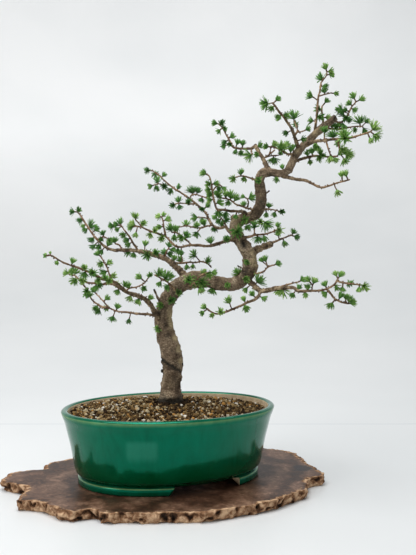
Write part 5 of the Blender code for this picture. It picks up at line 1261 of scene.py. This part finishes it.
# One limb: its twigs as stems, the first from the trunk's middle, and tufts on them, with
# wood and needles as two pieces.
def buildLimb(number, name, parts, finish, needles):
    wood, leaves = Shape(), Shape()
    draw = random.Random(number)
    spine = np.array(trunkLine)[:, :3]
    routes = []
    for order, (foot, tip, *spots) in enumerate(parts["twigs"]):
        routes.append(np.array(spots, float))
        route = [place(*spot) for spot in spots]
        if order == 0:
            route = [place(*nearestRoot([spine], *spots[0][:2]))] + route
        growTwig(wood, route, foot, tip, draw, collar=order == 0, cut=tip > 1.9)
    growTufts(wood, leaves, routes, parts["tufts"], number)
    title = "".join(word.capitalize() for word in name.split("_"))
    wood.piece("wood" + title, finish, name, "bark")
    leaves.piece("needles" + title, needles, name, "needles")


studio = {"flat": 0.5, "curve": 3.2, "sides": 96, "seam": 0.338, "sky": (0.95, 0.97, 0.99),
          "skyStrength": 0.33}

# Each light: its place, the place it faces, its size, its power and its colour.
studioLights = {
    "topSoftbox": ((-0.15, -0.2, 1.25), (0.0, 0.0, 0.2), (0.9, 0.8), 12.5, (1.0, 1.0, 1.0)),
    "leftWindow": ((-1.2, -1.0, 0.9), (0.0, 0.0, 0.2), (0.6, 0.7), 6.0, (0.97, 0.98, 1.0)),
    "wallWash": ((0.0, 0.9, 2.2), (0.0, 2.8, 0.5), (2.4, 0.8), 25.0, (1.0, 1.0, 1.0)),
}


# Studio floor: a flat disc that curves gently up into a round wall on every side.
def buildStudio():
    flat, curve = studio["flat"], studio["curve"]
    turn = np.linspace(0.0, 0.47 * np.pi, 40)
    wall = np.stack([flat + curve * np.sin(turn), curve - curve * np.cos(turn)], axis=1)
    profile = np.concatenate([[(0.02, 0.0), (0.25, 0.0)], wall])
    angle = turns(studio["sides"])
    rows = rolled(angle[None], profile[:, :1], profile[:, 1])
    corners = np.concatenate([rows.reshape(-1, 3), [(0.0, 0.0, 0.0)]])
    middle = poleTris(len(corners) - 1, 0, len(angle), False)
    mesh = bpy.data.meshes.new("studioBowl")
    mesh.from_pydata(corners.tolist(), [], ringQuads(len(profile), len(angle)).tolist() + middle.tolist())
    mesh.polygons.foreach_set("use_smooth", np.full(len(mesh.polygons), True))
    mesh.materials.append(floorFinish())
    bowl = bpy.data.objects.new("studioBowl", mesh)
    bpy.context.scene.collection.objects.link(bowl)


# An area light that faces a place.
def addLight(name, spot, aim, size, power, colour):
    data = bpy.data.lights.new(name, "AREA")
    data.shape = "RECTANGLE"
    data.size, data.size_y = size
    data.energy = power
    data.color = colour
    made = bpy.data.objects.new(name, data)
    made.location = spot
    made.rotation_euler = (Vector(aim) - Vector(spot)).to_track_quat("-Z", "Y").to_euler()
    bpy.context.scene.collection.objects.link(made)


# A pale even sky, and the three lights.
def lightStudio():
    world = bpy.data.worlds.new("studioSky")
    world.use_nodes = True
    background = world.node_tree.nodes["Background"]
    background.inputs["Color"].default_value = (*studio["sky"], 1.0)
    background.inputs["Strength"].default_value = studio["skyStrength"]
    bpy.context.scene.world = world
    for name, settings in studioLights.items():
        addLight(name, *settings)


# The camera stands level at the eye and looks straight along +Y.
def aimCamera():
    data = bpy.data.cameras.new("photoCamera")
    data.sensor_fit = "VERTICAL"
    data.sensor_height = view["sensor"]
    data.lens = view["lens"]
    data.clip_start = 0.01
    data.clip_end = 20.0
    made = bpy.data.objects.new("photoCamera", data)
    made.location = [value * mm for value in view["eye"]]
    made.rotation_euler = (math.pi / 2, 0.0, 0.0)
    bpy.context.scene.collection.objects.link(made)
    bpy.context.scene.camera = made


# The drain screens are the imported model's own, in their finish.
def coverScreens():
    finish = screenFinish()
    for name in ("drain_screen_left", "drain_screen_right"):
        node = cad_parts[name]
        node.data.materials.clear()
        node.data.materials.append(finish)


lookedAt = bpy.context.scene.view_settings
lookedAt.view_transform = "Standard"
lookedAt.look = "None"
lookedAt.exposure = 0.0
lookedAt.gamma = 1.0

aimCamera()
buildStudio()
lightStudio()
print("studio done")

coverScreens()
buildSlab(slabFinish())
print("slab done")
buildPot(potFinish())
print("pot done")
buildSoil(soilFinish())
buildGrains(grainFinish())
print("soil done")
needleLook = needleFinish()
buildTrunk(barkFinish(), needleLook)
print("trunk done")
twigLook = twigFinish()
for number, (name, parts) in enumerate(limbs.items(), start=1):
    buildLimb(number, name, parts, twigLook, needleLook)
print("limbs done")
